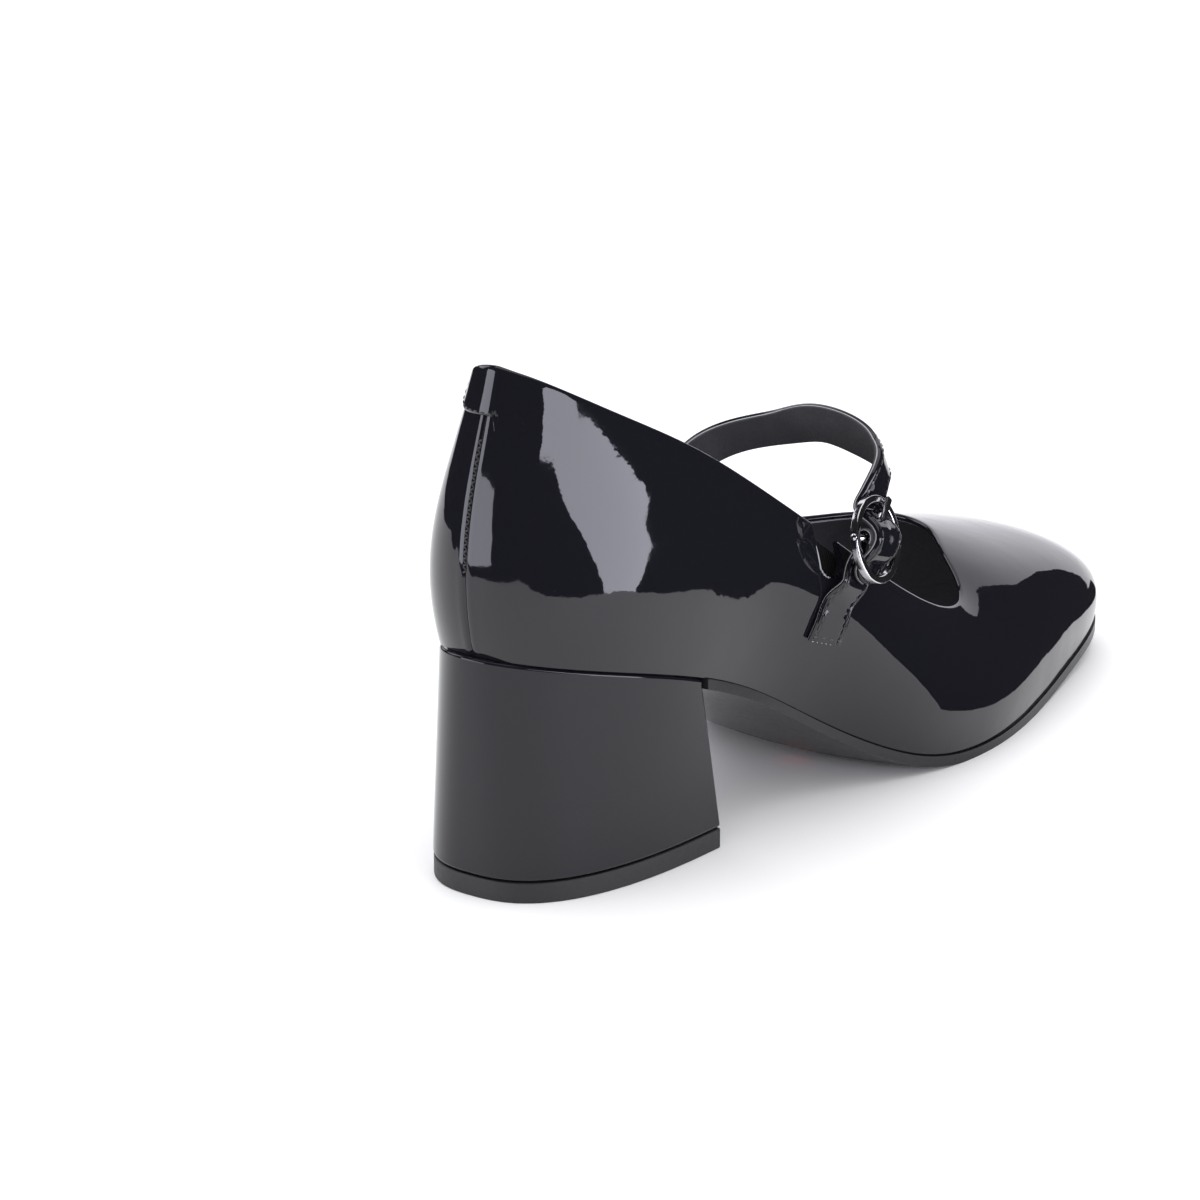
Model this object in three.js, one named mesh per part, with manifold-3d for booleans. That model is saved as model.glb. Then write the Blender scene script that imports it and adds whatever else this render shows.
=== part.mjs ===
// Mary jane pump for the right foot: a patent upper on a thin sole and a block heel, with an
// instep strap held by a small oval buckle on the outer side.
//
// Millimetres, +Z up, +X from heel to toe, +Y to the inner side of the foot.
// A "station" is the distance from the back of the heel. The origin lies on the floor in the
// middle of the heel's resting face.
import * as THREE from 'three';
import { mergeVertices } from 'three/addons/utils/BufferGeometryUtils.js';
import Module from 'manifold-3d';

const wasm = await Module();
wasm.setup();

// ---------------------------------------------------------------- driving dimensions
const LENGTH = 241.5;          // heel back to toe tip
const BALL_WIDTH = 81;         // across the joint
const HEEL_SEAT = 56;          // height of the foot bed at the back
const COLLAR_RISE = 64;        // from the heel seat to the top of the collar

const WALL = 1.8;              // patent, reinforcement and lining together
const GAP = 0.3;               // between pieces that touch
const BREAST_GAP = 1.1;        // from the heel's top edge to the start of the sole
const SOLE_DROP = 2.6;         // from the feather line to the sole's underside
const SOLE_EDGE = 0.5;         // how far the sole shows outside the upper
const SOLE_BELLY = 2.6;        // how far the waist's underside bulges in its middle
const INSOLE_THICK = 3;
const LIFT_THICK = 4.8;
const HEEL_MIDDLE = 30;        // station of the origin

const STRAP = { width: 10, endWidth: 8, thick: 1.6, corner: 0.4 };
const CHAPE = { width: 10, thick: 1 };
const RIM = { halfWidth: 8.9, halfLength: 10.1, band: 1.7, thick: 1.8, bevel: 0.5 };
const BAR_RADIUS = 0.8;
const PRONG_RADIUS = 0.7;

// Steps of the faceted surfaces.
const RING_STEPS = 5;          // per row of the last
const WALL_STEPS = 9;          // from feather line to topline
const ACROSS_STEPS = 6;        // across sole and insole

// ---------------------------------------------------------------- the last
// The tables are drawn for the base last and graded to the driving dimensions.
const BASE = { length: 241.5, width: 81, seat: 56, rise: 64 };
const grade = {
  s: LENGTH / BASE.length,
  y: BALL_WIDTH / BASE.width,
  z: (HEEL_SEAT + COLLAR_RISE) / (BASE.seat + BASE.rise),
};

// Height of the foot bed by station.
const SEAT_TABLE = [
  { s: 0, z: 56 },
  { s: 25, z: 50 },
  { s: 51, z: 42.4 },
  { s: 77, z: 31.2 },
  { s: 102, z: 16.4 },
  { s: 127, z: 4.7 },
  { s: 154, z: 2.2 },
  { s: 183, z: 2.8 },
  { s: 212, z: 5.2 },
  { s: 243, z: 9 },
];

// One row per section round the shoe: heel back, outer side, toe, inner side.
// s, y: feather edge; topS, topY, topZ: topline; out, rise: handle above the feather edge;
// reach, drop: handle below the topline.
const SECTION_COLUMNS = ['s', 'y', 'topS', 'topY', 'topZ', 'out', 'rise', 'reach', 'drop'];
const SECTION_TABLE = [
  [0, 0, 7.5, 0, 120, 7, 24, 8, 24],
  [4, -14, 12, -12, 117, 6, 24, 6, 24],
  [24, -24, 28, -20, 107.5, 5, 22, 6, 22],
  [51, -26.5, 51, -23.5, 96, 4, 20, 6, 20],
  [77, -24, 74, -25.5, 81, 6, 20, 7, 18],
  [102, -26.5, 98, -31, 63, 7, 18, 7, 14],
  [126, -37.2, 122, -32, 46, 6, 18, 8, 14],
  [154, -40, 147, -30, 33.5, 5, 16, 8, 10],
  [183, -32.6, 160, -25.5, 34.5, 5, 15, 14, 8],
  [211.5, -24.9, 166, -14, 41, 4.4, 16, 26, 8],
  [242, -16.4, 179, -4, 42, 3.6, 16, 31, 9],
  [245.6, 11.6, 183, 10, 42.5, 7.3, 20, 35, 9],
  [223, 33, 177, 20, 42, 5, 16, 26, 8],
  [190, 39, 163, 25, 43, 4, 15, 14, 8],
  [160, 38, 146, 27, 46.5, 5, 16, 8, 10],
  [130, 31, 123, 28, 54, 5, 18, 7, 14],
  [104, 19, 99, 28, 65, 9, 20, 4, 18],
  [77, 15, 76, 25, 80, 12, 22, 3, 22],
  [51, 23, 51, 21.5, 96, 7, 22, 5, 22],
  [24, 24, 29, 17, 107, 5, 22, 6, 22],
  [4, 13.5, 12, 9, 116.5, 6, 24, 6, 24],
];
const ROWS = SECTION_TABLE.length;
const TOE_TIP = ROWS / 2;      // ring place where outer and inner side meet

// Heel outlines: half a superellipse from the back to the breast.
const HEEL_TOP = { back: -0.4, breast: 52, halfWidth: 25.4, power: 2.07 };
const HEEL_FOOT = { back: 0.7, breast: 58.6, halfWidth: 26.3, power: 2.6 };

// Centre of the strap where it is free: tilt is how far its front edge hangs down and turn how
// far its outside looks to the toe, in degrees.
const STRAP_ARCH = [
  { s: 112, y: 22, z: 68.5, tilt: 48, turn: -3 },
  { s: 116.5, y: 12, z: 76.5, tilt: 56, turn: 0 },
  { s: 119.4, y: -0.8, z: 80.5, tilt: 60, turn: 0 },
  { s: 117.4, y: -13.5, z: 83.6, tilt: 71, turn: 0 },
  { s: 116.1, y: -28.9, z: 79.6, tilt: 61.5, turn: 6 },
  { s: 111, y: -33.3, z: 77.6, tilt: 38, turn: 14 },
];
// Inner end of the strap, sewn inside the wall: ring place and heights on the wall.
const STRAP_ROOT = { ring: 15.5, heights: [0.72, 0.86, 1] };
// Outer end in the buckle's own axes: side, up and out from the bar.
const STRAP_END = [
  { side: 2.8, up: 9.8, out: -2.4 },
  { side: 1.6, up: 7.2, out: -2.6 },
  { side: 0.6, up: 4.8, out: -0.1 },
  { side: 0.3, up: 2.5, out: 2.5 },
  { side: 0, up: 0, out: 3.5 },
  { side: -0.2, up: -2.5, out: 2.5 },
  { side: -0.4, up: -4.8, out: 0 },
  { side: -0.5, up: -7.2, out: -2.2 },
  { side: -0.6, up: -10, out: -2.6 },
];
const STRAP_HOLE = { side: 0.4, up: 4.2, halfSide: 1.5, halfUp: 2.5 };

// Middle of the buckle's bar. The rim stands in the plane of side and lean.
const BUCKLE = { s: 100.3, y: -38.8, z: 64.7, tilt: 17, turn: -2.5, lean: [0.29, 0.26, 0.92] };
// The short strap on the wall, then in the buckle's axes until it is behind the bar.
const CHAPE_ON_WALL = [
  { ring: 4.59, height: 0.375 },
  { ring: 4.69, height: 0.52 },
  { ring: 4.78, height: 0.63 },
];
const CHAPE_BEHIND = [
  { side: -1.5, up: -9.8, out: -5 },
  { side: -0.9, up: -6.4, out: -4.2 },
  { side: -0.2, up: -3, out: -2.7 },
  { side: 0, up: 0.2, out: -1.6 },
];
const NOTCH = { ring: 4.79, width: 9, depth: 11 };
const GORE = { from: 4.5, to: 5.3, low: 0.62, high: 0.95, thick: 1 };

// ---------------------------------------------------------------- small mathematics
const vec = (x, y, z) => new THREE.Vector3(x, y, z);
const radians = THREE.MathUtils.degToRad;
const lerp = THREE.MathUtils.lerp;

// Natural cubic spline through (x, y) pairs.
function naturalSpline(xs, ys) {
  const n = xs.length;
  const curve = new Array(n).fill(0);
  const share = new Array(n).fill(0);
  for (let i = 1; i < n - 1; i += 1) {
    const before = xs[i] - xs[i - 1];
    const after = xs[i + 1] - xs[i];
    const rise = (ys[i + 1] - ys[i]) / after - (ys[i] - ys[i - 1]) / before;
    const pivot = 2 * (before + after) - before * share[i - 1];
    share[i] = after / pivot;
    curve[i] = (6 * rise - before * curve[i - 1]) / pivot;
  }
  for (let i = n - 2; i > 0; i -= 1) curve[i] -= share[i] * curve[i + 1];
  return (x) => {
    let i = 0;
    while (i < n - 2 && x > xs[i + 1]) i += 1;
    const h = xs[i + 1] - xs[i];
    const a = (xs[i + 1] - x) / h;
    const b = (x - xs[i]) / h;
    const bend = ((a ** 3 - a) * curve[i] + (b ** 3 - b) * curve[i + 1]) * h * h / 6;
    return a * ys[i] + b * ys[i + 1] + bend;
  };
}

// Uniform cubic B-spline weights and their slopes at t between two rows.
const weights = (t) => [
  (1 - t) ** 3 / 6,
  (3 * t ** 3 - 6 * t ** 2 + 4) / 6,
  (-3 * t ** 3 + 3 * t ** 2 + 3 * t + 1) / 6,
  t ** 3 / 6,
];
const slopes = (t) => [
  -((1 - t) ** 2) / 2,
  (9 * t ** 2 - 12 * t) / 6,
  (-9 * t ** 2 + 6 * t + 3) / 6,
  t ** 2 / 2,
];

// ---------------------------------------------------------------- the last's surface
const seatCurve = naturalSpline(SEAT_TABLE.map((row) => row.s), SEAT_TABLE.map((row) => row.z));
const seat = (station) => seatCurve(station / grade.s) * grade.z;

// The section at ring place u, blended from four rows of the table.
function section(u, blend = weights) {
  const row = Math.floor(u);
  const share = blend(u - row);
  const mix = {};
  SECTION_COLUMNS.forEach((name, column) => {
    mix[name] = share.reduce((sum, w, k) => {
      return sum + w * SECTION_TABLE[(row - 1 + k + 2 * ROWS) % ROWS][column];
    }, 0);
  });
  return mix;
}

// Plan direction that looks out of the shoe at ring place u.
function outward(u) {
  const along = section(u, slopes);
  return vec(along.y * grade.y, -along.s * grade.s, 0).normalize();
}

// Point of the last at ring place u, from v = 0 at the feather edge to v = 1 at the topline.
function lastPoint(u, v) {
  const at = section(u);
  const out = outward(u);
  const foot = vec(at.s * grade.s, at.y * grade.y, 0);
  foot.z = seat(foot.x);
  const top = vec(at.topS * grade.s, at.topY * grade.y, at.topZ * grade.z);
  const low = foot.clone().addScaledVector(out, at.out).add(vec(0, 0, at.rise * grade.z));
  const high = top.clone().addScaledVector(out, at.reach).sub(vec(0, 0, at.drop * grade.z));
  const w = 1 - v;
  return vec(0, 0, 0)
    .addScaledVector(foot, w ** 3)
    .addScaledVector(low, 3 * w * w * v)
    .addScaledVector(high, 3 * w * v * v)
    .addScaledVector(top, v ** 3);
}

// Outward normal of the last.
function lastNormal(u, v) {
  const step = 0.01;
  const low = Math.max(v - step, 0);
  const high = Math.min(v + step, 1);
  const along = lastPoint(u + step, v).sub(lastPoint(u - step, v));
  const upward = lastPoint(u, high).sub(lastPoint(u, low));
  return along.cross(upward).normalize();
}

// Point at a depth below the last's surface; negative depths stand proud of it.
function wallPoint(u, v, depth) {
  return lastPoint(u, v).addScaledVector(lastNormal(u, v), -depth);
}

// ---------------------------------------------------------------- bodies from loops of points
// Loops of equal length are joined in order. A loop's first half runs along one face and its
// second half back along the other, so that a cap is a strip between the two halves.
function loft(loops, { closed = false, capStart = true, capEnd = true } = {}) {
  const positions = [];
  const triangle = (a, b, c) => positions.push(...a.toArray(), ...b.toArray(), ...c.toArray());
  const quad = (a, b, c, d) => {
    triangle(a, b, c);
    triangle(a, c, d);
  };
  const count = loops[0].length;
  const spans = closed ? loops.length : loops.length - 1;
  for (let k = 0; k < spans; k += 1) {
    const here = loops[k];
    const next = loops[(k + 1) % loops.length];
    for (let i = 0; i < count; i += 1) {
      const j = (i + 1) % count;
      quad(here[i], here[j], next[j], next[i]);
    }
  }
  const cap = (loop, turned) => {
    for (let i = 0; i < count / 2 - 1; i += 1) {
      const corners = [loop[i], loop[count - 1 - i], loop[count - 2 - i], loop[i + 1]];
      if (turned) corners.reverse();
      quad(...corners);
    }
  };
  if (!closed && capStart) cap(loops[0], false);
  if (!closed && capEnd) cap(loops[loops.length - 1], true);
  return closedGeometry(positions);
}

// Merges shared corners, drops collapsed triangles and makes the faces look out.
function closedGeometry(positions) {
  const soup = new THREE.BufferGeometry();
  soup.setAttribute('position', new THREE.Float32BufferAttribute(positions, 3));
  const merged = mergeVertices(soup, 1e-4);
  const at = merged.getAttribute('position');
  const corner = [vec(0, 0, 0), vec(0, 0, 0), vec(0, 0, 0)];
  const kept = [];
  let volume = 0;
  for (let i = 0; i < merged.index.count; i += 3) {
    const ids = [0, 1, 2].map((k) => merged.index.getX(i + k));
    if (new Set(ids).size < 3) continue;
    ids.forEach((id, k) => corner[k].fromBufferAttribute(at, id));
    volume += corner[0].dot(corner[1].clone().cross(corner[2]));
    kept.push(ids);
  }
  if (volume < 0) kept.forEach((ids) => ids.reverse());
  merged.setIndex(kept.flat());
  return merged;
}

function toSolid(geometry) {
  const bare = geometry.clone();
  bare.deleteAttribute('normal');
  bare.deleteAttribute('uv');
  const merged = mergeVertices(bare, 1e-4);
  return new wasm.Manifold(new wasm.Mesh({
    numProp: 3,
    vertProperties: new Float32Array(merged.getAttribute('position').array),
    triVerts: new Uint32Array(merged.index.array),
  }));
}

function fromSolid(solid) {
  const mesh = solid.getMesh();
  const geometry = new THREE.BufferGeometry();
  geometry.setAttribute('position', new THREE.Float32BufferAttribute(mesh.vertProperties, 3));
  geometry.setIndex(new THREE.Uint32BufferAttribute(mesh.triVerts, 1));
  return geometry;
}

const steps = (count) => Array.from({ length: count + 1 }, (_, i) => i / count);

// A plate from rungs that run across the shoe; each rung has its underside and top points.
function plate(rungs, options) {
  return loft(rungs.map(({ under, over }) => [...under, ...over.slice().reverse()]), options);
}

// ---------------------------------------------------------------- sole, insole and heel
// Rungs between the outer and the inner feather edge, from a station to the toe tip.
function bedRungs(firstPlace, inset, under, over) {
  const count = Math.round((TOE_TIP - firstPlace) * RING_STEPS);
  return steps(count).map((share) => {
    const u = lerp(firstPlace, TOE_TIP, share);
    const edge = (place) => lastPoint(place, 0).addScaledVector(outward(place), -inset);
    const outer = edge(u);
    const inner = edge(ROWS - u);
    const across = steps(ACROSS_STEPS).map((t) => outer.clone().lerp(inner, t));
    return {
      under: across.map((p, i) => vec(p.x, p.y, under(p.x, 2 * i / (across.length - 1) - 1))),
      over: across.map((p) => vec(p.x, p.y, over(p.x))),
    };
  });
}

function outsole() {
  const belly = (s) => SOLE_BELLY * THREE.MathUtils.smoothstep(s, 50, 90);
  const underside = (s, side) => Math.max(0, seat(s) - SOLE_DROP - belly(s) * (1 - side ** 2));
  const rungs = bedRungs(2, -SOLE_EDGE, underside, (s) => seat(s) - GAP);
  const whole = toSolid(plate(rungs, { capEnd: false }));
  const heelSide = new THREE.BoxGeometry(100, 100, 200);
  heelSide.translate(HEEL_TOP.breast + BREAST_GAP - 50, 0, 0);
  return fromSolid(whole.subtract(toSolid(heelSide)));
}

function insole() {
  const inset = WALL + GAP + 0.1;
  const rungs = bedRungs(0, inset, seat, (s) => seat(s) + INSOLE_THICK);
  return plate(rungs, { capStart: false, capEnd: false });
}

// Half-width of a heel outline and its station, from the back (t = 0) to the breast (t = 1).
function heelEdge(outline, t, inset = 0) {
  const angle = t * Math.PI / 2;
  const depth = outline.breast - outline.back - inset;
  return {
    s: outline.breast - depth * Math.cos(angle) ** (2 / outline.power),
    y: (outline.halfWidth - inset) * Math.sin(angle) ** (2 / outline.power),
  };
}

function heelRungs(lower, upper, inset = 0) {
  const count = 14;
  return steps(count).map((t) => {
    const foot = heelEdge(lower.outline, t, inset);
    const head = heelEdge(upper.outline, t, inset);
    const across = steps(ACROSS_STEPS + 2).map((share) => 2 * share - 1);
    return {
      under: across.map((side) => vec(foot.s, foot.y * side, lower.height(foot.s))),
      over: across.map((side) => vec(head.s, head.y * side, upper.height(head.s))),
    };
  });
}

function heelBlock() {
  const lower = { outline: HEEL_FOOT, height: () => LIFT_THICK + GAP };
  const upper = { outline: HEEL_TOP, height: (s) => seat(s) - GAP };
  return plate(heelRungs(lower, upper), { capStart: false });
}

function topLift() {
  const lower = { outline: HEEL_FOOT, height: () => 0 };
  const upper = { outline: HEEL_FOOT, height: () => LIFT_THICK };
  return plate(heelRungs(lower, upper, 0.2), { capStart: false });
}

// ---------------------------------------------------------------- upper and gore
// One section of the wall: up the outside, over the topline and down the inside.
function wallLoop(u) {
  const heights = steps(WALL_STEPS);
  const outside = heights.map((v) => lastPoint(u, v));
  const inside = heights.map((v) => {
    const point = wallPoint(u, v, WALL);
    point.z = Math.max(point.z, seat(point.x));
    return point;
  });
  return [...outside, ...inside.reverse()];
}

function upper() {
  const count = ROWS * RING_STEPS;
  const loops = steps(count).slice(0, count).map((share) => wallLoop(share * ROWS));
  const shell = toSolid(loft(loops, { closed: true }));
  return fromSolid(shell.subtract(toSolid(notchTool())));
}

// U-shaped cutter for the notch in the outer topline.
function notchTool() {
  const radius = NOTCH.width / 2;
  const shape = new THREE.Shape();
  shape.moveTo(-radius, 14);
  shape.lineTo(-radius, radius);
  shape.absarc(0, radius, radius, Math.PI, 2 * Math.PI, false);
  shape.lineTo(radius, 14);
  shape.closePath();
  const tool = new THREE.ExtrudeGeometry(shape, { depth: 16, bevelEnabled: false, curveSegments: 10 });
  const place = lastPoint(NOTCH.ring, 1);
  const out = lastNormal(NOTCH.ring, 0.9);
  const up = lastPoint(NOTCH.ring, 1).sub(lastPoint(NOTCH.ring, 0.8)).normalize();
  const side = up.clone().cross(out).normalize();
  const basis = new THREE.Matrix4().makeBasis(side, out.clone().cross(side), out);
  basis.setPosition(place.addScaledVector(up, -NOTCH.depth).addScaledVector(out, -8));
  return tool.applyMatrix4(basis);
}

// Elastic patch that closes the notch from inside.
function elasticGore() {
  const near = WALL + GAP;
  const loops = steps(5).map((share) => {
    const u = lerp(GORE.from, GORE.to, share);
    const heights = steps(5).map((t) => lerp(GORE.low, GORE.high, t));
    const outside = heights.map((v) => wallPoint(u, v, near));
    const inside = heights.map((v) => wallPoint(u, v, near + GORE.thick));
    return [...outside, ...inside.reverse()];
  });
  return loft(loops);
}

// ---------------------------------------------------------------- straps
function widthDirection({ tilt, turn }) {
  const a = radians(tilt);
  const b = radians(turn);
  return vec(Math.cos(a) * Math.cos(b), Math.cos(a) * Math.sin(b), -Math.sin(a));
}

// The buckle's axes: side across the strap, up along it and out from the foot.
function buckleAxes() {
  const side = widthDirection(BUCKLE);
  const lean = vec(...BUCKLE.lean);
  const up = lean.addScaledVector(side, -lean.dot(side)).normalize();
  return { side, up, out: side.clone().cross(up), centre: vec(BUCKLE.s, BUCKLE.y, BUCKLE.z) };
}
const AXES = buckleAxes();

function atBuckle({ side, up, out }) {
  return AXES.centre.clone()
    .addScaledVector(AXES.side, side)
    .addScaledVector(AXES.up, up)
    .addScaledVector(AXES.out, out);
}

const buckleMatrix = new THREE.Matrix4()
  .makeBasis(AXES.side, AXES.up, AXES.out)
  .setPosition(AXES.centre);

// A band through guides (centre and width direction), evenly stepped, with chamfered edges.
// width(d, total) gives its width at a distance along it.
function band(guides, { thick, corner = 0 }, width, count) {
  const places = [0];
  for (let i = 1; i < guides.length; i += 1) {
    places.push(places[i - 1] + guides[i].centre.distanceTo(guides[i - 1].centre));
  }
  const total = places[places.length - 1];
  const along = (pick) => {
    const curves = ['x', 'y', 'z'].map((axis) => naturalSpline(places, guides.map((g) => pick(g)[axis])));
    return (d) => vec(...curves.map((curve) => curve(d)));
  };
  const centreAt = along((g) => g.centre);
  const widthAt = along((g) => g.across);
  const loops = steps(count).map((share) => {
    const d = share * total;
    const tangent = centreAt(d + 0.1).sub(centreAt(d - 0.1)).normalize();
    const across = widthAt(d);
    const out = across.clone().cross(tangent).normalize();
    across.crossVectors(tangent, out);
    const half = width(d, total) / 2;
    const corners = [
      [-half, -thick / 2 + corner], [-half + corner, -thick / 2],
      [half - corner, -thick / 2], [half, -thick / 2 + corner],
      [half, thick / 2 - corner], [half - corner, thick / 2],
      [-half + corner, thick / 2], [-half, thick / 2 - corner],
    ];
    return corners.map(([w, t]) => centreAt(d).addScaledVector(across, w).addScaledVector(out, t));
  });
  return loft(loops);
}

function strapGuides() {
  const inside = WALL + 2 * GAP + STRAP.thick / 2;
  const root = STRAP_ROOT.heights.map((v) => {
    const along = lastPoint(STRAP_ROOT.ring - 0.05, v).sub(lastPoint(STRAP_ROOT.ring + 0.05, v));
    return { centre: wallPoint(STRAP_ROOT.ring, v, inside), across: along.normalize() };
  });
  const arch = STRAP_ARCH.map((row) => {
    return { centre: vec(row.s, row.y, row.z), across: widthDirection(row) };
  });
  const end = STRAP_END.map((row) => ({ centre: atBuckle(row), across: AXES.side.clone() }));
  return [...root, ...arch, ...end];
}

function instepStrap() {
  const tip = STRAP.endWidth / 2;
  const width = (d, total) => {
    const left = Math.min(total - d, tip);
    const full = lerp(STRAP.endWidth, STRAP.width, THREE.MathUtils.smoothstep(total - d, 25, 45));
    return full * Math.sqrt(Math.max(1 - (1 - left / tip) ** 2, 0.1));
  };
  const strip = toSolid(band(strapGuides(), STRAP, width, 84));
  const hole = new THREE.CylinderGeometry(1, 1, 14, 16);
  hole.rotateX(Math.PI / 2);
  hole.scale(STRAP_HOLE.halfSide, STRAP_HOLE.halfUp, 1);
  hole.translate(STRAP_HOLE.side, STRAP_HOLE.up, 0);
  return fromSolid(strip.subtract(toSolid(hole.applyMatrix4(buckleMatrix))));
}

// The short strap lies on the upper, goes up behind the bar and is folded over it.
function buckleStrap() {
  const lift = -(1.5 * GAP + CHAPE.thick / 2);
  const flat = CHAPE_ON_WALL.map(({ ring, height }, i) => {
    const next = CHAPE_ON_WALL[Math.min(i + 1, CHAPE_ON_WALL.length - 1)];
    const last = CHAPE_ON_WALL[Math.max(i - 1, 0)];
    const along = lastPoint(next.ring, next.height).sub(lastPoint(last.ring, last.height));
    const across = along.cross(lastNormal(ring, height)).normalize();
    return { centre: wallPoint(ring, height, lift), across };
  });
  const loopRadius = BAR_RADIUS + GAP + CHAPE.thick / 2;
  const behind = CHAPE_BEHIND.map((row) => {
    return { centre: atBuckle(row), across: AXES.side.clone() };
  });
  const tail = toSolid(band([...flat, ...behind], CHAPE, () => CHAPE.width, 28));
  return fromSolid(tail.add(foldOverBar(loopRadius)).subtract(prongSlot()));
}

function foldOverBar(loopRadius) {
  const outer = loopRadius + CHAPE.thick / 2;
  const inner = loopRadius - CHAPE.thick / 2;
  const fold = new THREE.Shape();
  fold.absarc(0, 0, outer, -Math.PI / 2, Math.PI * 0.75, false);
  fold.absarc(0, 0, inner, Math.PI * 0.75, -Math.PI / 2, true);
  fold.closePath();
  const body = new THREE.ExtrudeGeometry(fold, {
    depth: CHAPE.width,
    bevelEnabled: false,
    curveSegments: 16,
  });
  body.translate(0, 0, -CHAPE.width / 2);
  const turned = new THREE.Matrix4().makeBasis(vec(0, 1, 0), vec(0, 0, -1), vec(-1, 0, 0));
  return toSolid(body.applyMatrix4(turned).applyMatrix4(buckleMatrix));
}

// Room for the prong's root in the middle of the fold.
function prongSlot() {
  const slot = new THREE.BoxGeometry(3, 5.4, 9);
  slot.translate(0, 0.2, 0);
  return toSolid(slot.applyMatrix4(buckleMatrix));
}

// ---------------------------------------------------------------- buckle
// Bevelled oval rim with the bar across its middle.
function buckleFrame() {
  const { halfWidth, halfLength, band: wide, thick, bevel } = RIM;
  const profile = [
    [0, -thick / 2], [0, thick / 2 - bevel], [bevel, thick / 2],
    [wide - bevel, thick / 2], [wide, thick / 2 - bevel], [wide, -thick / 2],
  ];
  const loops = steps(40).slice(0, 40).map((share) => {
    const angle = share * 2 * Math.PI;
    return profile.map(([inset, out]) => atBuckle({
      side: (halfWidth - inset) * Math.cos(angle),
      up: (halfLength - inset) * Math.sin(angle),
      out,
    }));
  });
  const rim = toSolid(loft(loops, { closed: true }));
  const bar = new THREE.CylinderGeometry(BAR_RADIUS, BAR_RADIUS, 2 * halfWidth + 0.6, 12);
  bar.rotateZ(Math.PI / 2);
  return fromSolid(rim.add(toSolid(bar.applyMatrix4(buckleMatrix))));
}

// The prong turns on the bar, comes up through the strap's hole and rests on the rim.
function buckleProng() {
  const route = [
    [0, 1.5, 0.3], [0.1, 3, 0.9], [0.4, 4.6, 1.6], [1.2, 6.6, 2], [2.9, 9.4, 2],
  ];
  const curve = new THREE.CatmullRomCurve3(route.map((p) => vec(...p)));
  const round = new THREE.Shape();
  round.absarc(0, 0, PRONG_RADIUS, 0, 2 * Math.PI, false);
  const rod = new THREE.ExtrudeGeometry(round, { steps: 20, extrudePath: curve, curveSegments: 4 });
  const outer = BAR_RADIUS + GAP + 0.8;
  const eye = new THREE.LatheGeometry([
    new THREE.Vector2(BAR_RADIUS + GAP, -1), new THREE.Vector2(outer, -1),
    new THREE.Vector2(outer, 1), new THREE.Vector2(BAR_RADIUS + GAP, 1),
    new THREE.Vector2(BAR_RADIUS + GAP, -1),
  ], 20);
  eye.rotateZ(Math.PI / 2);
  const joined = toSolid(rod).add(toSolid(eye));
  return fromSolid(joined.transform(buckleMatrix.toArray()));
}

// ---------------------------------------------------------------- assembly
const PATENT = { color: 0x0b0b0e, roughness: 0.06, metalness: 0 };
const PIECES = [
  ['outsole', outsole, { color: 0x1a1a1c, roughness: 0.45, metalness: 0 }],
  ['insole', insole, { color: 0x17171a, roughness: 0.55, metalness: 0 }],
  ['heel_block', heelBlock, PATENT],
  ['top_lift', topLift, { color: 0x202023, roughness: 0.5, metalness: 0 }],
  ['upper', upper, PATENT],
  ['elastic_gore', elasticGore, { color: 0x101012, roughness: 0.9, metalness: 0 }],
  ['instep_strap', instepStrap, PATENT],
  ['buckle_strap', buckleStrap, PATENT],
  ['buckle_frame', buckleFrame, { color: 0x8a8a92, roughness: 0.15, metalness: 1 }],
  ['buckle_prong', buckleProng, { color: 0x9a9aa2, roughness: 0.15, metalness: 1 }],
];

const shoe = new THREE.Group();
for (const [name, make, finish] of PIECES) {
  const mesh = new THREE.Mesh(make(), new THREE.MeshStandardMaterial(finish));
  mesh.name = name;
  shoe.add(mesh);
}
shoe.position.x = -HEEL_MIDDLE;
shoe.updateMatrixWorld(true);

export default shoe;
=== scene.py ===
"""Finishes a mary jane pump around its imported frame: patent upper, straps, buckle, heel and sole.

Shapes are worked out in millimetres in the shoemaker's stations (distance from the back of the
heel) and placed in the row frame, in metres, when a mesh is made.
"""
import math

import bmesh
import bpy
import numpy as np
from mathutils import Matrix, Vector


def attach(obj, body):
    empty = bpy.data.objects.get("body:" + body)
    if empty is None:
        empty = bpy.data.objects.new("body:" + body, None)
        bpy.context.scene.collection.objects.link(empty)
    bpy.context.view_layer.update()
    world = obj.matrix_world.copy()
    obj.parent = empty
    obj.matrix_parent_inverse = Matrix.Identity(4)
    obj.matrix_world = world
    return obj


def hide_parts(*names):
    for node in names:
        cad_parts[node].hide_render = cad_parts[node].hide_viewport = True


bl_info = {
    "name": "Mary Jane Pump Finish",
    "version": (1, 0, 0),
    "blender": (4, 5, 0),
    "location": "3D View > Sidebar > Shoe",
    "description": "Builds the visible pieces of a patent mary jane pump on its packed frame",
    "category": "Object",
}

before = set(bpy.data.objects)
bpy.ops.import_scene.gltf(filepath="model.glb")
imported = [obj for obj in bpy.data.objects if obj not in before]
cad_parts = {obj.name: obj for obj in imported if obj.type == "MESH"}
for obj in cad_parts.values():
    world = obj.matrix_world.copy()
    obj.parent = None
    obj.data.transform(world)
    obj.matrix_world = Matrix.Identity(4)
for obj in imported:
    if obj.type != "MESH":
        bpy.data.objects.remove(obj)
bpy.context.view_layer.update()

MM = 0.001
HEEL_MIDDLE = 30.0
WALL = 1.8
GAP = 0.3
LIFT_TOP = 4.8
FOLD_RISE = 0.75       # how far the patent's fold stands above the wall's edge
FOLD_DEPTH = WALL - 0.3


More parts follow.
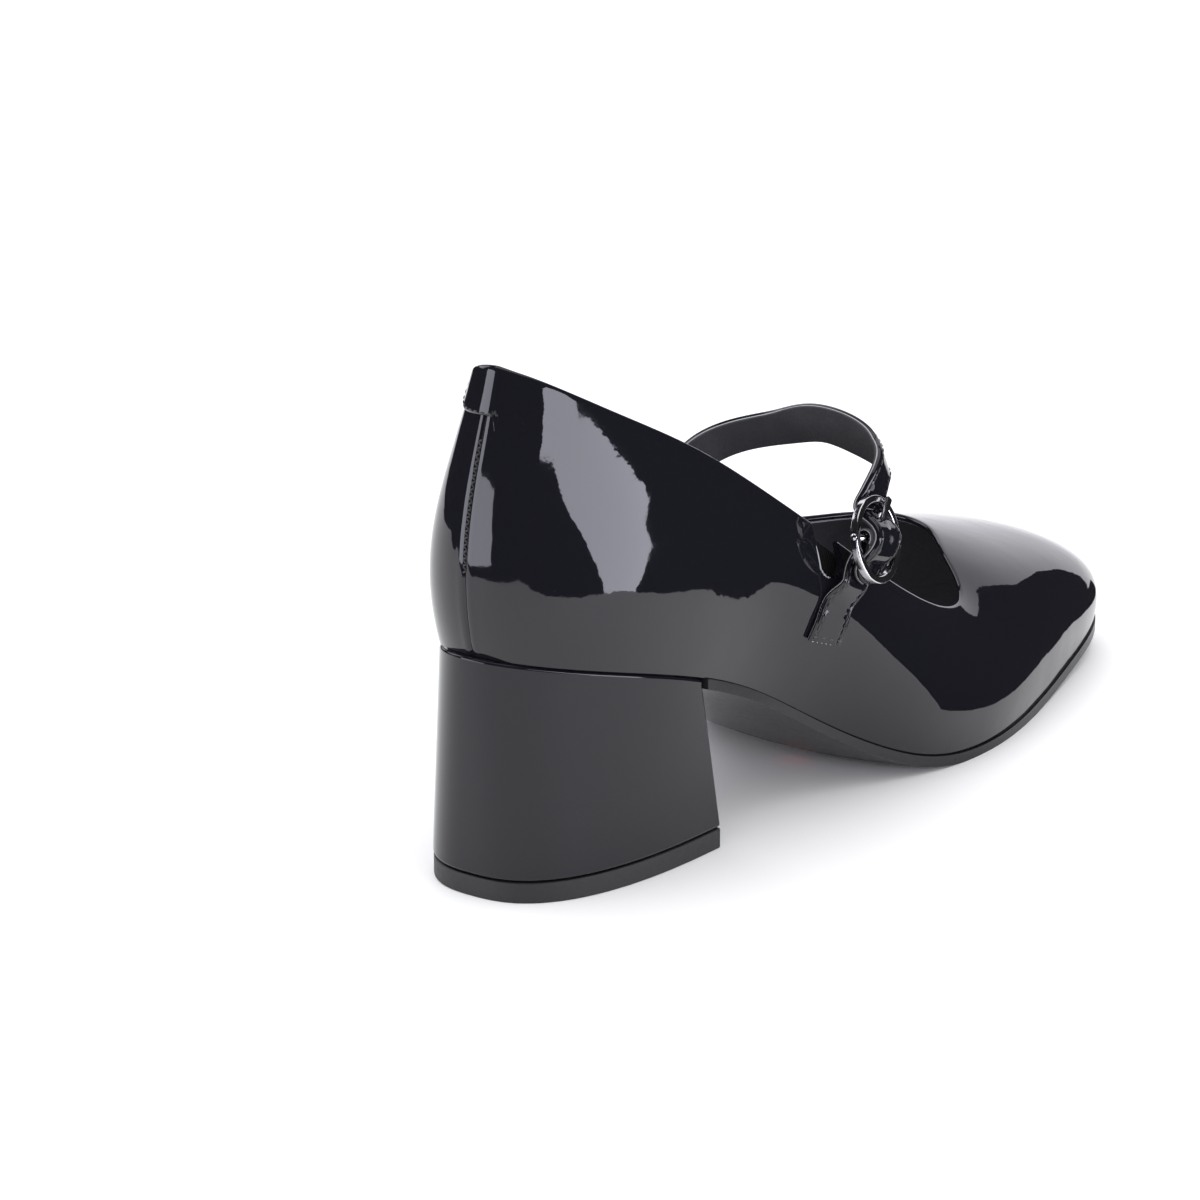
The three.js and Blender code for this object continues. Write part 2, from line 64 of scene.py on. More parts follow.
# ------------------------------------------------------------------ the last
SEAT_STATIONS = (0, 25, 51, 77, 102, 127, 154, 183, 212, 243)
SEAT_HEIGHTS = (56, 50, 42.4, 31.2, 16.4, 4.7, 2.2, 2.8, 5.2, 9)

# One row per section: feather edge s, y; topline s, y, z; handles out, rise, reach, drop.
SECTIONS = np.array((
    (0, 0, 7.5, 0, 120, 7, 24, 8, 24),
    (4, -14, 12, -12, 117, 6, 24, 6, 24),
    (24, -24, 28, -20, 107.5, 5, 22, 6, 22),
    (51, -26.5, 51, -23.5, 96, 4, 20, 6, 20),
    (77, -24, 74, -25.5, 81, 6, 20, 7, 18),
    (102, -26.5, 98, -31, 63, 7, 18, 7, 14),
    (126, -37.2, 122, -32, 46, 6, 18, 8, 14),
    (154, -40, 147, -30, 33.5, 5, 16, 8, 10),
    (183, -32.6, 160, -25.5, 34.5, 5, 15, 14, 8),
    (211.5, -24.9, 166, -14, 41, 4.4, 16, 26, 8),
    (242, -16.4, 179, -4, 42, 3.6, 16, 31, 9),
    (245.6, 11.6, 183, 10, 42.5, 7.3, 20, 35, 9),
    (223, 33, 177, 20, 42, 5, 16, 26, 8),
    (190, 39, 163, 25, 43, 4, 15, 14, 8),
    (160, 38, 146, 27, 46.5, 5, 16, 8, 10),
    (130, 31, 123, 28, 54, 5, 18, 7, 14),
    (104, 19, 99, 28, 65, 9, 20, 4, 18),
    (77, 15, 76, 25, 80, 12, 22, 3, 22),
    (51, 23, 51, 21.5, 96, 7, 22, 5, 22),
    (24, 24, 29, 17, 107, 5, 22, 6, 22),
    (4, 13.5, 12, 9, 116.5, 6, 24, 6, 24),
), float)
ROWS = len(SECTIONS)
TOE_TIP = ROWS / 2


def natural_spline(xs, ys):
    """Natural cubic spline through the rows of ys at xs, as a function of x."""
    xs = np.asarray(xs, float)
    ys = np.asarray(ys, float)
    flat = ys.ndim == 1
    ys = ys.reshape(len(xs), -1)
    step = np.diff(xs)
    system = np.eye(len(xs))
    rise = np.zeros_like(ys)
    for i in range(1, len(xs) - 1):
        system[i, i - 1:i + 2] = step[i - 1], 2 * (step[i - 1] + step[i]), step[i]
        rise[i] = 6 * ((ys[i + 1] - ys[i]) / step[i] - (ys[i] - ys[i - 1]) / step[i - 1])
    bend = np.linalg.solve(system, rise)

    def curve(x):
        x = np.asarray(x, float)
        i = np.clip(np.searchsorted(xs, x, side="right") - 1, 0, len(xs) - 2)
        h = step[i][..., None]
        a = (xs[i + 1] - x)[..., None] / h
        b = 1 - a
        result = a * ys[i] + b * ys[i + 1]
        result += ((a ** 3 - a) * bend[i] + (b ** 3 - b) * bend[i + 1]) * h * h / 6
        return result[..., 0] if flat else result

    return curve


seat = natural_spline(SEAT_STATIONS, SEAT_HEIGHTS)


def weights(t):
    """Shares of four neighbouring rows in a cubic B-spline."""
    return (
        (1 - t) ** 3 / 6,
        (3 * t ** 3 - 6 * t ** 2 + 4) / 6,
        (-3 * t ** 3 + 3 * t ** 2 + 3 * t + 1) / 6,
        t ** 3 / 6,
    )


def slopes(t):
    """Rates at which the shares change."""
    return (
        -((1 - t) ** 2) / 2,
        (9 * t ** 2 - 12 * t) / 6,
        (-9 * t ** 2 + 6 * t + 3) / 6,
        t ** 2 / 2,
    )


def blend_rows(u, kind):
    """The table's columns at ring place u."""
    u = np.asarray(u, float)
    row = np.floor(u).astype(int)
    share = kind((u - row)[..., None])
    return sum(share[k] * SECTIONS[(row - 1 + k) % ROWS] for k in range(4))


def outward(u):
    """Level direction away from the last at ring place u."""
    along = blend_rows(u, slopes)
    out = np.stack((along[..., 1], -along[..., 0], np.zeros_like(along[..., 0])), -1)
    return out / np.linalg.norm(out, axis=-1, keepdims=True)


def handles(u):
    """The four control points of the section at ring place u."""
    row = blend_rows(u, weights)
    s, y, top_s, top_y, top_z, out, rise, reach, drop = np.moveaxis(row, -1, 0)
    away = outward(u)
    foot = np.stack((s, y, seat(s)), -1)
    top = np.stack((top_s, top_y, top_z), -1)
    up = np.array((0.0, 0.0, 1.0))
    low = foot + away * out[..., None] + up * rise[..., None]
    high = top + away * reach[..., None] - up * drop[..., None]
    return foot, low, high, top


def last_point(u, v):
    """Point of the last from v = 0 at the feather edge to v = 1 at the topline."""
    u, v = np.broadcast_arrays(np.asarray(u, float), np.asarray(v, float))
    foot, low, high, top = handles(u)
    v = v[..., None]
    w = 1 - v
    return w ** 3 * foot + 3 * w * w * v * low + 3 * w * v * v * high + v ** 3 * top


def unit(vectors):
    return vectors / np.linalg.norm(vectors, axis=-1, keepdims=True)


def last_normal(u, v):
    """Outward direction of the last's surface."""
    step = 0.004
    u, v = np.broadcast_arrays(np.asarray(u, float), np.asarray(v, float))
    low = np.clip(v - step, 0, 1)
    high = np.clip(v + step, 0, 1)
    along = last_point(u + step, v) - last_point(u - step, v)
    upward = last_point(u, high) - last_point(u, low)
    return unit(np.cross(along, upward))


def wall_point(u, v, depth):
    """Point at a depth below the last's surface; a negative depth stands proud of it."""
    return last_point(u, v) - last_normal(u, v) * np.asarray(depth, float)[..., None]


def top_speed(u):
    """Millimetres of wall per unit of v just below the topline."""
    _, _, high, top = handles(u)
    return 3 * np.linalg.norm(top - high, axis=-1)


def place(points):
    """Shoemaker's millimetres to metres in the row frame."""
    return (np.asarray(points, float) - (HEEL_MIDDLE, 0, 0)) * MM


# ------------------------------------------------------------------ strap and buckle guides
def width_direction(tilt, turn):
    """Direction across a strap, turned level and tilted down, in degrees."""
    a = math.radians(tilt)
    b = math.radians(turn)
    return np.array((math.cos(a) * math.cos(b), math.cos(a) * math.sin(b), -math.sin(a)))


BUCKLE_CENTRE = np.array((100.3, -38.8, 64.7))
BUCKLE_SIDE = width_direction(17, -2.5)
LEAN = np.array((0.29, 0.26, 0.92))
BUCKLE_UP = unit(LEAN - BUCKLE_SIDE * (LEAN @ BUCKLE_SIDE))
BUCKLE_OUT = np.cross(BUCKLE_SIDE, BUCKLE_UP)
RIM = {"half_width": 8.9, "half_length": 10.1, "band": 1.7, "thick": 1.8}
BAR_RADIUS = 0.8

# Centre s, y, z of the free strap with the tilt and turn of its width, in degrees.
STRAP_ARCH = (
    (112, 22, 68.5, 48, -3),
    (116.5, 12, 76.5, 56, 0),
    (119.4, -0.8, 80.5, 60, 0),
    (117.4, -13.5, 83.6, 71, 0),
    (116.1, -28.9, 79.6, 61.5, 6),
    (111, -33.3, 77.6, 38, 14),
)
STRAP_ROOT = {"ring": 15.5, "heights": (0.72, 0.86, 1)}
# Side, up and out from the middle of the buckle's bar.
STRAP_END = (
    (2.8, 9.8, -2.4),
    (1.6, 7.2, -2.6),
    (0.6, 4.8, -0.1),
    (0.3, 2.5, 2.5),
    (0, 0, 3.5),
    (-0.2, -2.5, 2.5),
    (-0.4, -4.8, 0),
    (-0.5, -7.2, -2.2),
    (-0.6, -10, -2.6),
)
STRAP = {"width": 10, "end_width": 9, "thick": 1.6}
CHAPE = {"width": 10, "thick": 1}
CHAPE_ON_WALL = ((4.59, 0.375), (4.69, 0.52), (4.78, 0.63))
CHAPE_BEHIND = ((-1.5, -9.8, -5), (-0.9, -6.4, -4.2), (-0.2, -3, -2.7), (0, 0.2, -1.6))
NOTCH = {"ring": 4.79, "width": 9, "depth": 11, "cutter": 14.0}
GORE = {"start": 4.5, "end": 5.3, "low": 0.62, "high": 0.95, "thick": 1}


def at_buckle(side, up, out):
    """Points given in the buckle's own axes."""
    side, up, out = (np.asarray(value, float)[..., None] for value in (side, up, out))
    return BUCKLE_CENTRE + side * BUCKLE_SIDE + up * BUCKLE_UP + out * BUCKLE_OUT


def strap_guides():
    """Centres and width directions along the instep strap, root first."""
    heights = np.array(STRAP_ROOT["heights"], float)
    ring = STRAP_ROOT["ring"]
    inside = WALL + 2 * GAP + STRAP["thick"] / 2
    centres = list(wall_point(np.full(3, ring), heights, np.full(3, inside)))
    across = list(unit(last_point(ring - 0.05, heights) - last_point(ring + 0.05, heights)))
    for s, y, z, tilt, turn in STRAP_ARCH:
        centres.append(np.array((s, y, z), float))
        across.append(width_direction(tilt, turn))
    for row in STRAP_END:
        centres.append(at_buckle(*row))
        across.append(BUCKLE_SIDE)
    return np.array(centres), np.array(across)


def chape_guides():
    """Centres and width directions along the short buckle strap, foot first."""
    rings, heights = np.array(CHAPE_ON_WALL, float).T
    lift = -(1.5 * GAP + CHAPE["thick"] / 2)
    on_wall = last_point(rings, heights)
    along = on_wall[[1, 2, 2]] - on_wall[[0, 0, 1]]
    across = unit(np.cross(along, last_normal(rings, heights)))
    centres = wall_point(rings, heights, np.full(len(rings), lift))
    behind = np.array([at_buckle(*row) for row in CHAPE_BEHIND])
    sides = np.repeat(BUCKLE_SIDE[None], len(behind), 0)
    return np.concatenate((centres, behind)), np.concatenate((across, sides))


class Band:
    """A strap's middle line with its width and outward directions along it."""

    def __init__(self, centres, across, face=1):
        self.face = face
        places = np.concatenate(([0], np.cumsum(np.linalg.norm(np.diff(centres, axis=0), axis=1))))
        self.length = places[-1]
        self.centre = natural_spline(places, centres)
        self.across = natural_spline(places, across)

    def axes(self, d):
        """Centre, width direction and outward direction at distance d."""
        d = np.asarray(d, float)
        tangent = unit(self.centre(d + 0.1) - self.centre(d - 0.1))
        out = unit(np.cross(self.across(d), tangent))
        return self.centre(d), np.cross(tangent, out), out * self.face

    def point(self, d, side, out):
        centre, across, away = self.axes(d)
        side = np.asarray(side, float)[..., None]
        return centre + across * side + away * np.asarray(out, float)[..., None]


# ------------------------------------------------------------------ meshes
def add_object(name, data):
    """A new object in the scene."""
    made = bpy.data.objects.new(name, data)
    bpy.context.scene.collection.objects.link(made)
    return made


def make_mesh(name, points, faces, materials, face_slots=None, sharp=40):
    """A mesh object from millimetre points, smooth but for edges over the sharp angle."""
    mesh = bpy.data.meshes.new(name)
    mesh.from_pydata(place(points).tolist(), [], [list(map(int, face)) for face in faces])
    for material in materials:
        mesh.materials.append(material)
    if face_slots is not None:
        mesh.polygons.foreach_set("material_index", np.asarray(face_slots, np.int32))
    mesh.validate()
    mesh.shade_smooth()
    mesh.set_sharp_from_angle(angle=math.radians(sharp))
    mesh.update()
    return add_object(name, mesh)


def grid_faces(rows, columns, ring=False):
    """Quads between closed loops of points, and from the last loop to the first in a ring."""
    down = np.arange(rows if ring else rows - 1)
    r, c = np.meshgrid(down, np.arange(columns), indexing="ij")
    r2 = (r + 1) % rows
    c2 = (c + 1) % columns
    quads = np.stack((r * columns + c, r2 * columns + c, r2 * columns + c2, r * columns + c2), -1)
    return quads.reshape(-1, 4)


def weld(piece):
    """Merges doubles, drops collapsed faces and turns the faces out."""
    work = bmesh.new()
    work.from_mesh(piece.data)
    bmesh.ops.remove_doubles(work, verts=work.verts, dist=1e-6)
    bmesh.ops.dissolve_degenerate(work, edges=work.edges, dist=1e-8)
    bmesh.ops.recalc_face_normals(work, faces=work.faces)
    work.to_mesh(piece.data)
    work.free()
    return piece


def ring_body(name, loops, materials, slots=None, sharp=40):
    """A body through closed loops of points that come round to the first one."""
    rows, columns = loops.shape[:2]
    faces = grid_faces(rows, columns, ring=True)
    return weld(make_mesh(name, loops.reshape(-1, 3), faces, materials, slots, sharp))


def loop_tube(name, loops, materials, loop_slots=None, sharp=40):
    """A body through closed loops of points, with its ends capped."""
    loops = np.asarray(loops, float)
    rows, columns = loops.shape[:2]
    faces = [list(face) for face in grid_faces(rows, columns)]
    faces.append(list(range(columns))[::-1])
    faces.append([(rows - 1) * columns + i for i in range(columns)])
    slots = None
    if loop_slots is not None:
        slots = [*np.tile(loop_slots, rows - 1), loop_slots[0], loop_slots[0]]
    return weld(make_mesh(name, loops.reshape(-1, 3), faces, materials, slots, sharp))


def apply_modifiers(piece):
    """Turns the evaluated piece into a plain mesh and drops its modifiers."""
    graph = bpy.context.evaluated_depsgraph_get()
    mesh = bpy.data.meshes.new_from_object(piece.evaluated_get(graph))
    old = piece.data
    piece.modifiers.clear()
    piece.data = mesh
    bpy.data.meshes.remove(old)
    return piece


def bevel(piece, width, segments=3, angle=40):
    """Rounds the edges over an angle by a width in millimetres."""
    modifier = piece.modifiers.new("Rounded edges", "BEVEL")
    modifier.width = width * MM
    modifier.segments = segments
    modifier.limit_method = "ANGLE"
    modifier.angle_limit = math.radians(angle)
    modifier.harden_normals = True
    return apply_modifiers(piece)


def cut(piece, cutter):
    """Takes the cutter out of the piece and removes the cutter."""
    modifier = piece.modifiers.new("Cut", "BOOLEAN")
    modifier.operation = "DIFFERENCE"
    modifier.solver = "EXACT"
    modifier.object = cutter
    apply_modifiers(piece)
    piece.data.set_sharp_from_angle(angle=math.radians(40))
    bpy.data.objects.remove(cutter)
    return piece


def finish_piece(piece, slot, *nodes):
    """Rides the piece on the body and hides the CAD nodes it stands for. The slot is not used."""
    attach(piece, "root")
    if nodes:
        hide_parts(*nodes)
    return piece


# ------------------------------------------------------------------ shader tools
class Wire:
    """A socket of a material's nodes that takes part in arithmetic."""

    def __init__(self, paint, socket):
        self.paint = paint
        self.socket = socket

    def maths(self, operation, *values):
        return self.paint.node("ShaderNodeMath", {"operation": operation}, dict(enumerate(values)))

    def __add__(self, other):
        return self.maths("ADD", self, other)

    def __sub__(self, other):
        return self.maths("SUBTRACT", self, other)

    def __rsub__(self, other):
        return self.maths("SUBTRACT", other, self)

    def __mul__(self, other):
        return self.maths("MULTIPLY", self, other)

    __radd__ = __add__
    __rmul__ = __mul__

    def ramp(self, low, high, start=0.0, end=1.0):
        """Rises smoothly from start to end while the value goes from low to high."""
        values = {"Value": self, "From Min": low, "From Max": high, "To Min": start, "To Max": end}
        return self.paint.node(
            "ShaderNodeMapRange", {"interpolation_type": "SMOOTHSTEP"}, values)


class Paint:
    """A material built around one Principled shader."""

    def __init__(self, name, uniform):
        self.material = bpy.data.materials.new(name)
        self.material.use_nodes = True
        self.tree = self.material.node_tree
        self.tree.nodes.clear()
        self.shader = self.tree.nodes.new("ShaderNodeBsdfPrincipled")
        output = self.tree.nodes.new("ShaderNodeOutputMaterial")
        self.tree.links.new(self.shader.outputs[0], output.inputs["Surface"])
        for socket, value in uniform.items():
            self.shader.inputs[socket].default_value = value
        self.place = self.node("ShaderNodeTexCoord", output="Object")

    def node(self, kind, settings=None, values=None, output=0):
        """Adds a node with its settings and socket values, and gives one of its outputs."""
        made = self.tree.nodes.new(kind)
        for name, value in (settings or {}).items():
            setattr(made, name, value)
        for key, value in (values or {}).items():
            socket = made.inputs[key] if isinstance(key, int) else next(
                s for s in made.inputs if s.name == key and s.enabled)
            if isinstance(value, Wire):
                self.tree.links.new(value.socket, socket)
            else:
                socket.default_value = value
        return Wire(self, made.outputs[output])

    def noise(self, scale, detail, roughness=0.5, place=None):
        values = {"Vector": place or self.place, "Scale": scale, "Detail": detail,
                  "Roughness": roughness}
        return self.node("ShaderNodeTexNoise", values=values)

    def mix(self, factor, first, second):
        """A colour between two colours."""
        values = {"Factor": factor, "A": first, "B": second}
        wire = self.node("ShaderNodeMix", {"data_type": "RGBA"}, values)
        wire.socket = next(s for s in wire.socket.node.outputs if s.enabled)
        return wire

    def bump(self, height, distance, normal=None):
        """A bump of a distance in millimetres, on top of an earlier one."""
        values = {"Height": height, "Distance": distance * MM, "Strength": 1.0}
        if normal is not None:
            values["Normal"] = normal
        return self.node("ShaderNodeBump", values=values)

    def stretched(self, scale):
        """Object coordinates scaled by axis."""
        return self.node("ShaderNodeMapping", values={"Vector": self.place, "Scale": scale})

    def axis(self, name):
        return self.node("ShaderNodeSeparateXYZ", values={"Vector": self.place}, output=name)

    def feed(self, socket, wire):
        self.tree.links.new(wire.socket, self.shader.inputs[socket])


def grey(level, blue=1.06):
    """A neutral colour with its blue raised."""
    return (level, level, level * blue, 1.0)


def patent_paint(name, waves, black, film=1.5):
    """Black patent: a mirror film with slow waves, orange peel, specks and wiped haze."""
    paint = Paint(name, {"IOR": film})
    haze = paint.noise(45, 3).ramp(0.5, 0.75)
    dust = paint.noise(2600, 1).ramp(0.76, 0.82)
    paint.feed("Base Color", paint.mix(dust * 0.3, (*black, 1.0), grey(0.05)))
    paint.feed("Roughness", haze * 0.03 + dust * 0.15 + 0.035)
    slow = paint.bump(paint.noise(32, 1, 0.4), waves)
    ripple = paint.bump(paint.noise(110, 1.5), waves * 0.1, normal=slow)
    paint.feed("Normal", paint.bump(paint.noise(650, 1), waves * 0.009, normal=ripple))
    return paint.material


def glowing_lining_paint(name, base, rubbed):
    """Matte lining with a fine grain and faint rubbing, and a faint even glow that is painted light
    lifting its shade.
    """
    # The emission is painted light: a faint glow that lifts the lining's dark shade where little
    # light reaches it.
    paint = Paint(name, {"IOR": 1.45, "Specular IOR Level": 0.3,
                         "Emission Color": grey(0.008, 1.2), "Emission Strength": 1.0})
    rub = paint.noise(70, 4).ramp(0.4, 0.75)
    grain = paint.node("ShaderNodeTexVoronoi", {"feature": "F1"},
                       {"Vector": paint.place, "Scale": 1500.0}, "Distance")
    paint.feed("Base Color", paint.mix(rub, (*base, 1.0), (*rubbed, 1.0)))
    paint.feed("Roughness", grain * 0.15 + 0.66)
    rough = paint.bump(grain, 0.12)
    paint.feed("Normal", paint.bump(paint.noise(420, 3), 0.08, normal=rough))
    return paint.material


def raw_edge_paint():
    """Cut edge of the lining, paler than its face; on the notch's rear edge the same pale finish
    paints a highlight.
    """
    paint = Paint("lining_edge", {"IOR": 1.45})
    fibre = paint.noise(1800, 3)
    paint.feed("Base Color", paint.mix(fibre, grey(0.2), grey(0.4)))
    paint.feed("Roughness", fibre * 0.3 + 0.5)
    paint.feed("Normal", paint.bump(fibre, 0.1))
    return paint.material


def rubber_paint():
    """Matte moulded rubber of the top lift."""
    paint = Paint("lift_rubber", {"IOR": 1.5, "Specular IOR Level": 0.4})
    speck = paint.noise(900, 3)
    scuff = paint.noise(60, 4).ramp(0.5, 0.8)
    paint.feed("Base Color", paint.mix(scuff, grey(0.016), grey(0.035)))
    paint.feed("Roughness", speck * 0.2 + scuff * 0.1 + 0.4)
    paint.feed("Normal", paint.bump(speck, 0.06))
    return paint.material


def sole_paint():
    """Satin black sole with a plain red patch under the waist."""
    paint = Paint("sole_satin", {"IOR": 1.5, "Specular IOR Level": 0.28})
    grain = paint.noise(700, 3)
    cloud = paint.noise(30, 3)
    offset = paint.axis("Y") + 0.006
    across = offset.maths("ABSOLUTE", offset).ramp(0.0033, 0.0036, 1, 0)
    along = paint.axis("X")
    patch = across * along.ramp(0.0856, 0.086) * along.ramp(0.0895, 0.09, 1, 0)
    base = paint.mix(cloud, grey(0.012), grey(0.02))
    paint.feed("Base Color", paint.mix(patch, base, (0.55, 0.04, 0.03, 1.0)))
    paint.feed("Roughness", grain * 0.12 + cloud * 0.1 + 0.2)
    paint.feed("Normal", paint.bump(grain, 0.03))
    return paint.material


def elastic_paint():
    """Ribbed black elastic."""
    paint = Paint("ribbed_elastic", {"IOR": 1.45, "Specular IOR Level": 0.1})
    rib = paint.node("ShaderNodeTexWave", {"wave_type": "BANDS", "bands_direction": "X"},
                     {"Vector": paint.place, "Scale": 380.0, "Distortion": 0.4})
    fuzz = paint.noise(2500, 2)
    paint.feed("Base Color", paint.mix(rib, grey(0.004), grey(0.012)))
    paint.feed("Roughness", fuzz * 0.2 + 0.7)
    paint.feed("Normal", paint.bump(rib * 0.7 + fuzz * 0.3, 0.15))
    return paint.material


def thread_paint(name, low, high):
    """Twisted sewing thread."""
    paint = Paint(name, {"IOR": 1.45, "Sheen Weight": 0.2})
    twist = paint.noise(5200, 2)
    paint.feed("Base Color", paint.mix(twist, grey(low), grey(high)))
    paint.feed("Roughness", twist * 0.25 + 0.35)
    paint.feed("Normal", paint.bump(twist, 0.08))
    return paint.material


def metal_paint(settings):
    """Polished dark nickel with fine rubbing marks."""
    paint = Paint("dark_nickel", {"Metallic": 1.0})
    rub = paint.noise(90, 3).ramp(0.4, 0.7)
    mark = paint.noise(1400, 4, place=paint.stretched((1.0, 6.0, 1.0)))
    paint.feed("Base Color", paint.mix(rub, (*settings.metal, 1.0), grey(0.7, 1.03)))
    paint.feed("Roughness", mark * 0.06 + rub * 0.04 + 0.07)
    paint.feed("Normal", paint.bump(mark, 0.008))
    return paint.material


def floor_paint(colour):
    """Pale matte floor."""
    paint = Paint("pale_floor", {"Roughness": 0.6})
    cloud = paint.noise(6, 2)
    paint.feed("Base Color", paint.mix(cloud, colour, tuple(c * 0.995 for c in colour[:3]) + (1,)))
    return paint.material


MATERIALS = {}


def prepare_materials(settings):
    """Every finish of the shoe, by its plain name."""
    patent = tuple(settings.patent)
    MATERIALS.update(
        upper=patent_paint("patent_upper", settings.wave_depth, patent),
        strap=patent_paint("patent_strap", settings.wave_depth * 0.12, patent),
        heel=patent_paint("patent_heel", settings.wave_depth * 0.15, patent, 1.43),
        lining=glowing_lining_paint("matte_lining_painted_glow", settings.lining, grey(0.1)[:3]),
        dark=glowing_lining_paint("strap_lining_painted_glow", [c * 0.45 for c in settings.lining], grey(0.05)[:3]),
        raw=raw_edge_paint(),
        rubber=rubber_paint(),
        sole=sole_paint(),
        elastic=elastic_paint(),
        thread=thread_paint("black_thread", 0.012, 0.05),
        worked=thread_paint("worked_thread", 0.004, 0.015),
        loose=thread_paint("thread_ends", 0.35, 0.7),
        metal=metal_paint(settings),
    )


# ------------------------------------------------------------------ upper
TAB = {"reach": 17.5, "height": 10.8, "thick": 0.6, "lateral": 7.0}
BACK_STEP = 14.5


def ring_places():
    """Ring places of the upper's mesh, close together at the back seam."""
    fine = np.arange(-0.12, 0.12, 0.01)
    near = np.arange(0.12, 1.0, 0.03)
    coarse = np.arange(1.0, ROWS - 1.0, 0.045)
    return np.concatenate((fine, near, coarse, ROWS - near[::-1]))


def seam_groove(u, v):
    """Depth of the back seam below its surroundings, in millimetres."""
    turn = (np.asarray(u) + ROWS / 2) % ROWS - ROWS / 2
    across = turn * BACK_STEP
    groove = np.exp(-(across / 0.32) ** 2) * 0.3
    pillow = -0.12 * np.exp(-((np.abs(across) - 1.3) / 0.9) ** 2)
    fade = np.clip((0.985 - v) / 0.05, 0, 1)
    return (groove + pillow) * fade


def upper_profile(u):
    """Closed section of the wall at ring place u, with the finish of each strip."""
    speed = top_speed(u)
    crown = 1 - FOLD_RISE / speed
    heights = np.concatenate((np.linspace(0, 0.9, 38), np.linspace(0.92, 1, 8)))
    points = []
    for share in heights:
        v = share * crown
        points.append(wall_point(u, v, seam_groove(u, v)))
    normal = last_normal(u, crown)
    upward = unit(last_point(u, crown) - last_point(u, crown - 0.01))
    rim = last_point(u, crown)
    for angle in np.linspace(0, math.pi, 9)[1:-1]:
        depth = FOLD_DEPTH / 2 * (1 - math.cos(angle))
        rise = FOLD_RISE * math.sin(angle) ** 0.7
        points.append(rim - normal * depth + upward * rise)
    patent_rows = len(points) + 2
    for down in (0.0, 0.6, 1.1):
        points.append(wall_point(u, crown - down / speed, FOLD_DEPTH))
    raw_rows = len(points)
    lining = np.concatenate(([0.0], np.linspace(0.04, 1, 22)))
    for share in lining:
        v = (crown - 1.12 / speed) * (1 - share)
        point = wall_point(u, v, WALL)
        point[:, 2] = np.maximum(point[:, 2], seat(point[:, 0]))
        points.append(point)
    finish = np.full(len(points), 1)
    finish[:patent_rows] = 0
    finish[raw_rows - 1] = 2
    finish[-1] = 0
    return np.stack(points, 1), finish


def build_upper():
    """The hollow wall with its patent, fold, cut edge and lining."""
    loops, finish = upper_profile(ring_places())
    materials = [MATERIALS["upper"], MATERIALS["lining"], MATERIALS["raw"]]
    shell = ring_body("upper_shell", loops, materials, np.tile(finish, len(loops)), 50)
    cut(shell, notch_cutter())
    finish_piece(shell, "patent", "upper")


def notch_axes():
    """Lowest point of the notch with its side, up and outward directions."""
    ring = NOTCH["ring"]
    top = last_point(ring, 1.0)
    out = last_normal(ring, 0.9)
    rise = unit(top - last_point(ring, 0.8))
    side = unit(np.cross(rise, out))
    return top - rise * NOTCH["depth"], side, np.cross(out, side), out


def notch_cutter():
    """U-shaped body that opens the outer topline for the elastic."""
    radius = NOTCH["width"] / 2
    corner, side, up, out = notch_axes()
    turns = np.linspace(math.pi, 2 * math.pi, 25)
    outline = [(-radius, NOTCH["cutter"])]
    outline += [(radius * math.cos(a), radius + radius * math.sin(a)) for a in turns]
    outline += [(radius, NOTCH["cutter"])]
    loops = [[corner + side * x + up * y + out * depth for x, y in outline] for depth in (-8, 8)]
    return loop_tube("notch_cutter", loops, [MATERIALS["upper"]])


def build_notch_highlight_bead():
    """A thin pale bead down the rear side of the notch's cut edge: a painted highlight along that
    edge.
    """
    radius = NOTCH["width"] / 2
    corner, side, up, _ = notch_axes()
    turns = np.linspace(1.02 * math.pi, 1.42 * math.pi, 24)
    flat = [(radius * math.cos(turns[0]), h) for h in np.linspace(8.6, 4.9, 12)]
    flat += [(radius * math.cos(a), radius + radius * math.sin(a)) for a in turns]
    sign = 1 if side[0] > 0 else -1
    loops = []
    for k, (x, h) in enumerate(flat):
        base = corner + side * x * sign + up * h
        u, v = on_last(base)
        spot = wall_point(u, v, 0.05)
        size = 0.24 * math.sin(math.pi * (k + 0.6) / (len(flat) + 0.2)) ** 0.4
        loops.append([spot + size * (side * math.cos(a) + last_normal(u, v) * math.sin(a))
                      for a in np.linspace(0, 2 * math.pi, 10, endpoint=False)])
    # The pale bead is a painted highlight along the notch's rear edge.
    edge = loop_tube("notch_edge_painted_highlight", loops, [MATERIALS["raw"]], sharp=60)
    finish_piece(edge, "lining")


def on_last(point):
    """Ring place and height of the outer wall's spot nearest to a point near the notch."""
    u, v = np.meshgrid(np.arange(4.3, 5.4, 0.02), np.arange(0.5, 1.0, 0.01), indexing="ij")
    miss = np.linalg.norm(last_point(u, v) - point, axis=-1)
    place = np.unravel_index(np.argmin(miss), miss.shape)
    return u[place], v[place]


def tab_drop(x):
    """Distance of the back tab's lower edge below the topline, x mm to the inner side."""
    inner = np.clip(x / TAB["reach"], 0, 1)
    return TAB["height"] * np.sqrt(np.clip(1 - inner ** 2.6, 0, 1))


def tab_edge(x):
    """How sharply the tab ends at its lower edge: 1 on the inner side, 0 where it is smooth."""
    return np.clip((x + 3.2) / 1.0, 0, 1)


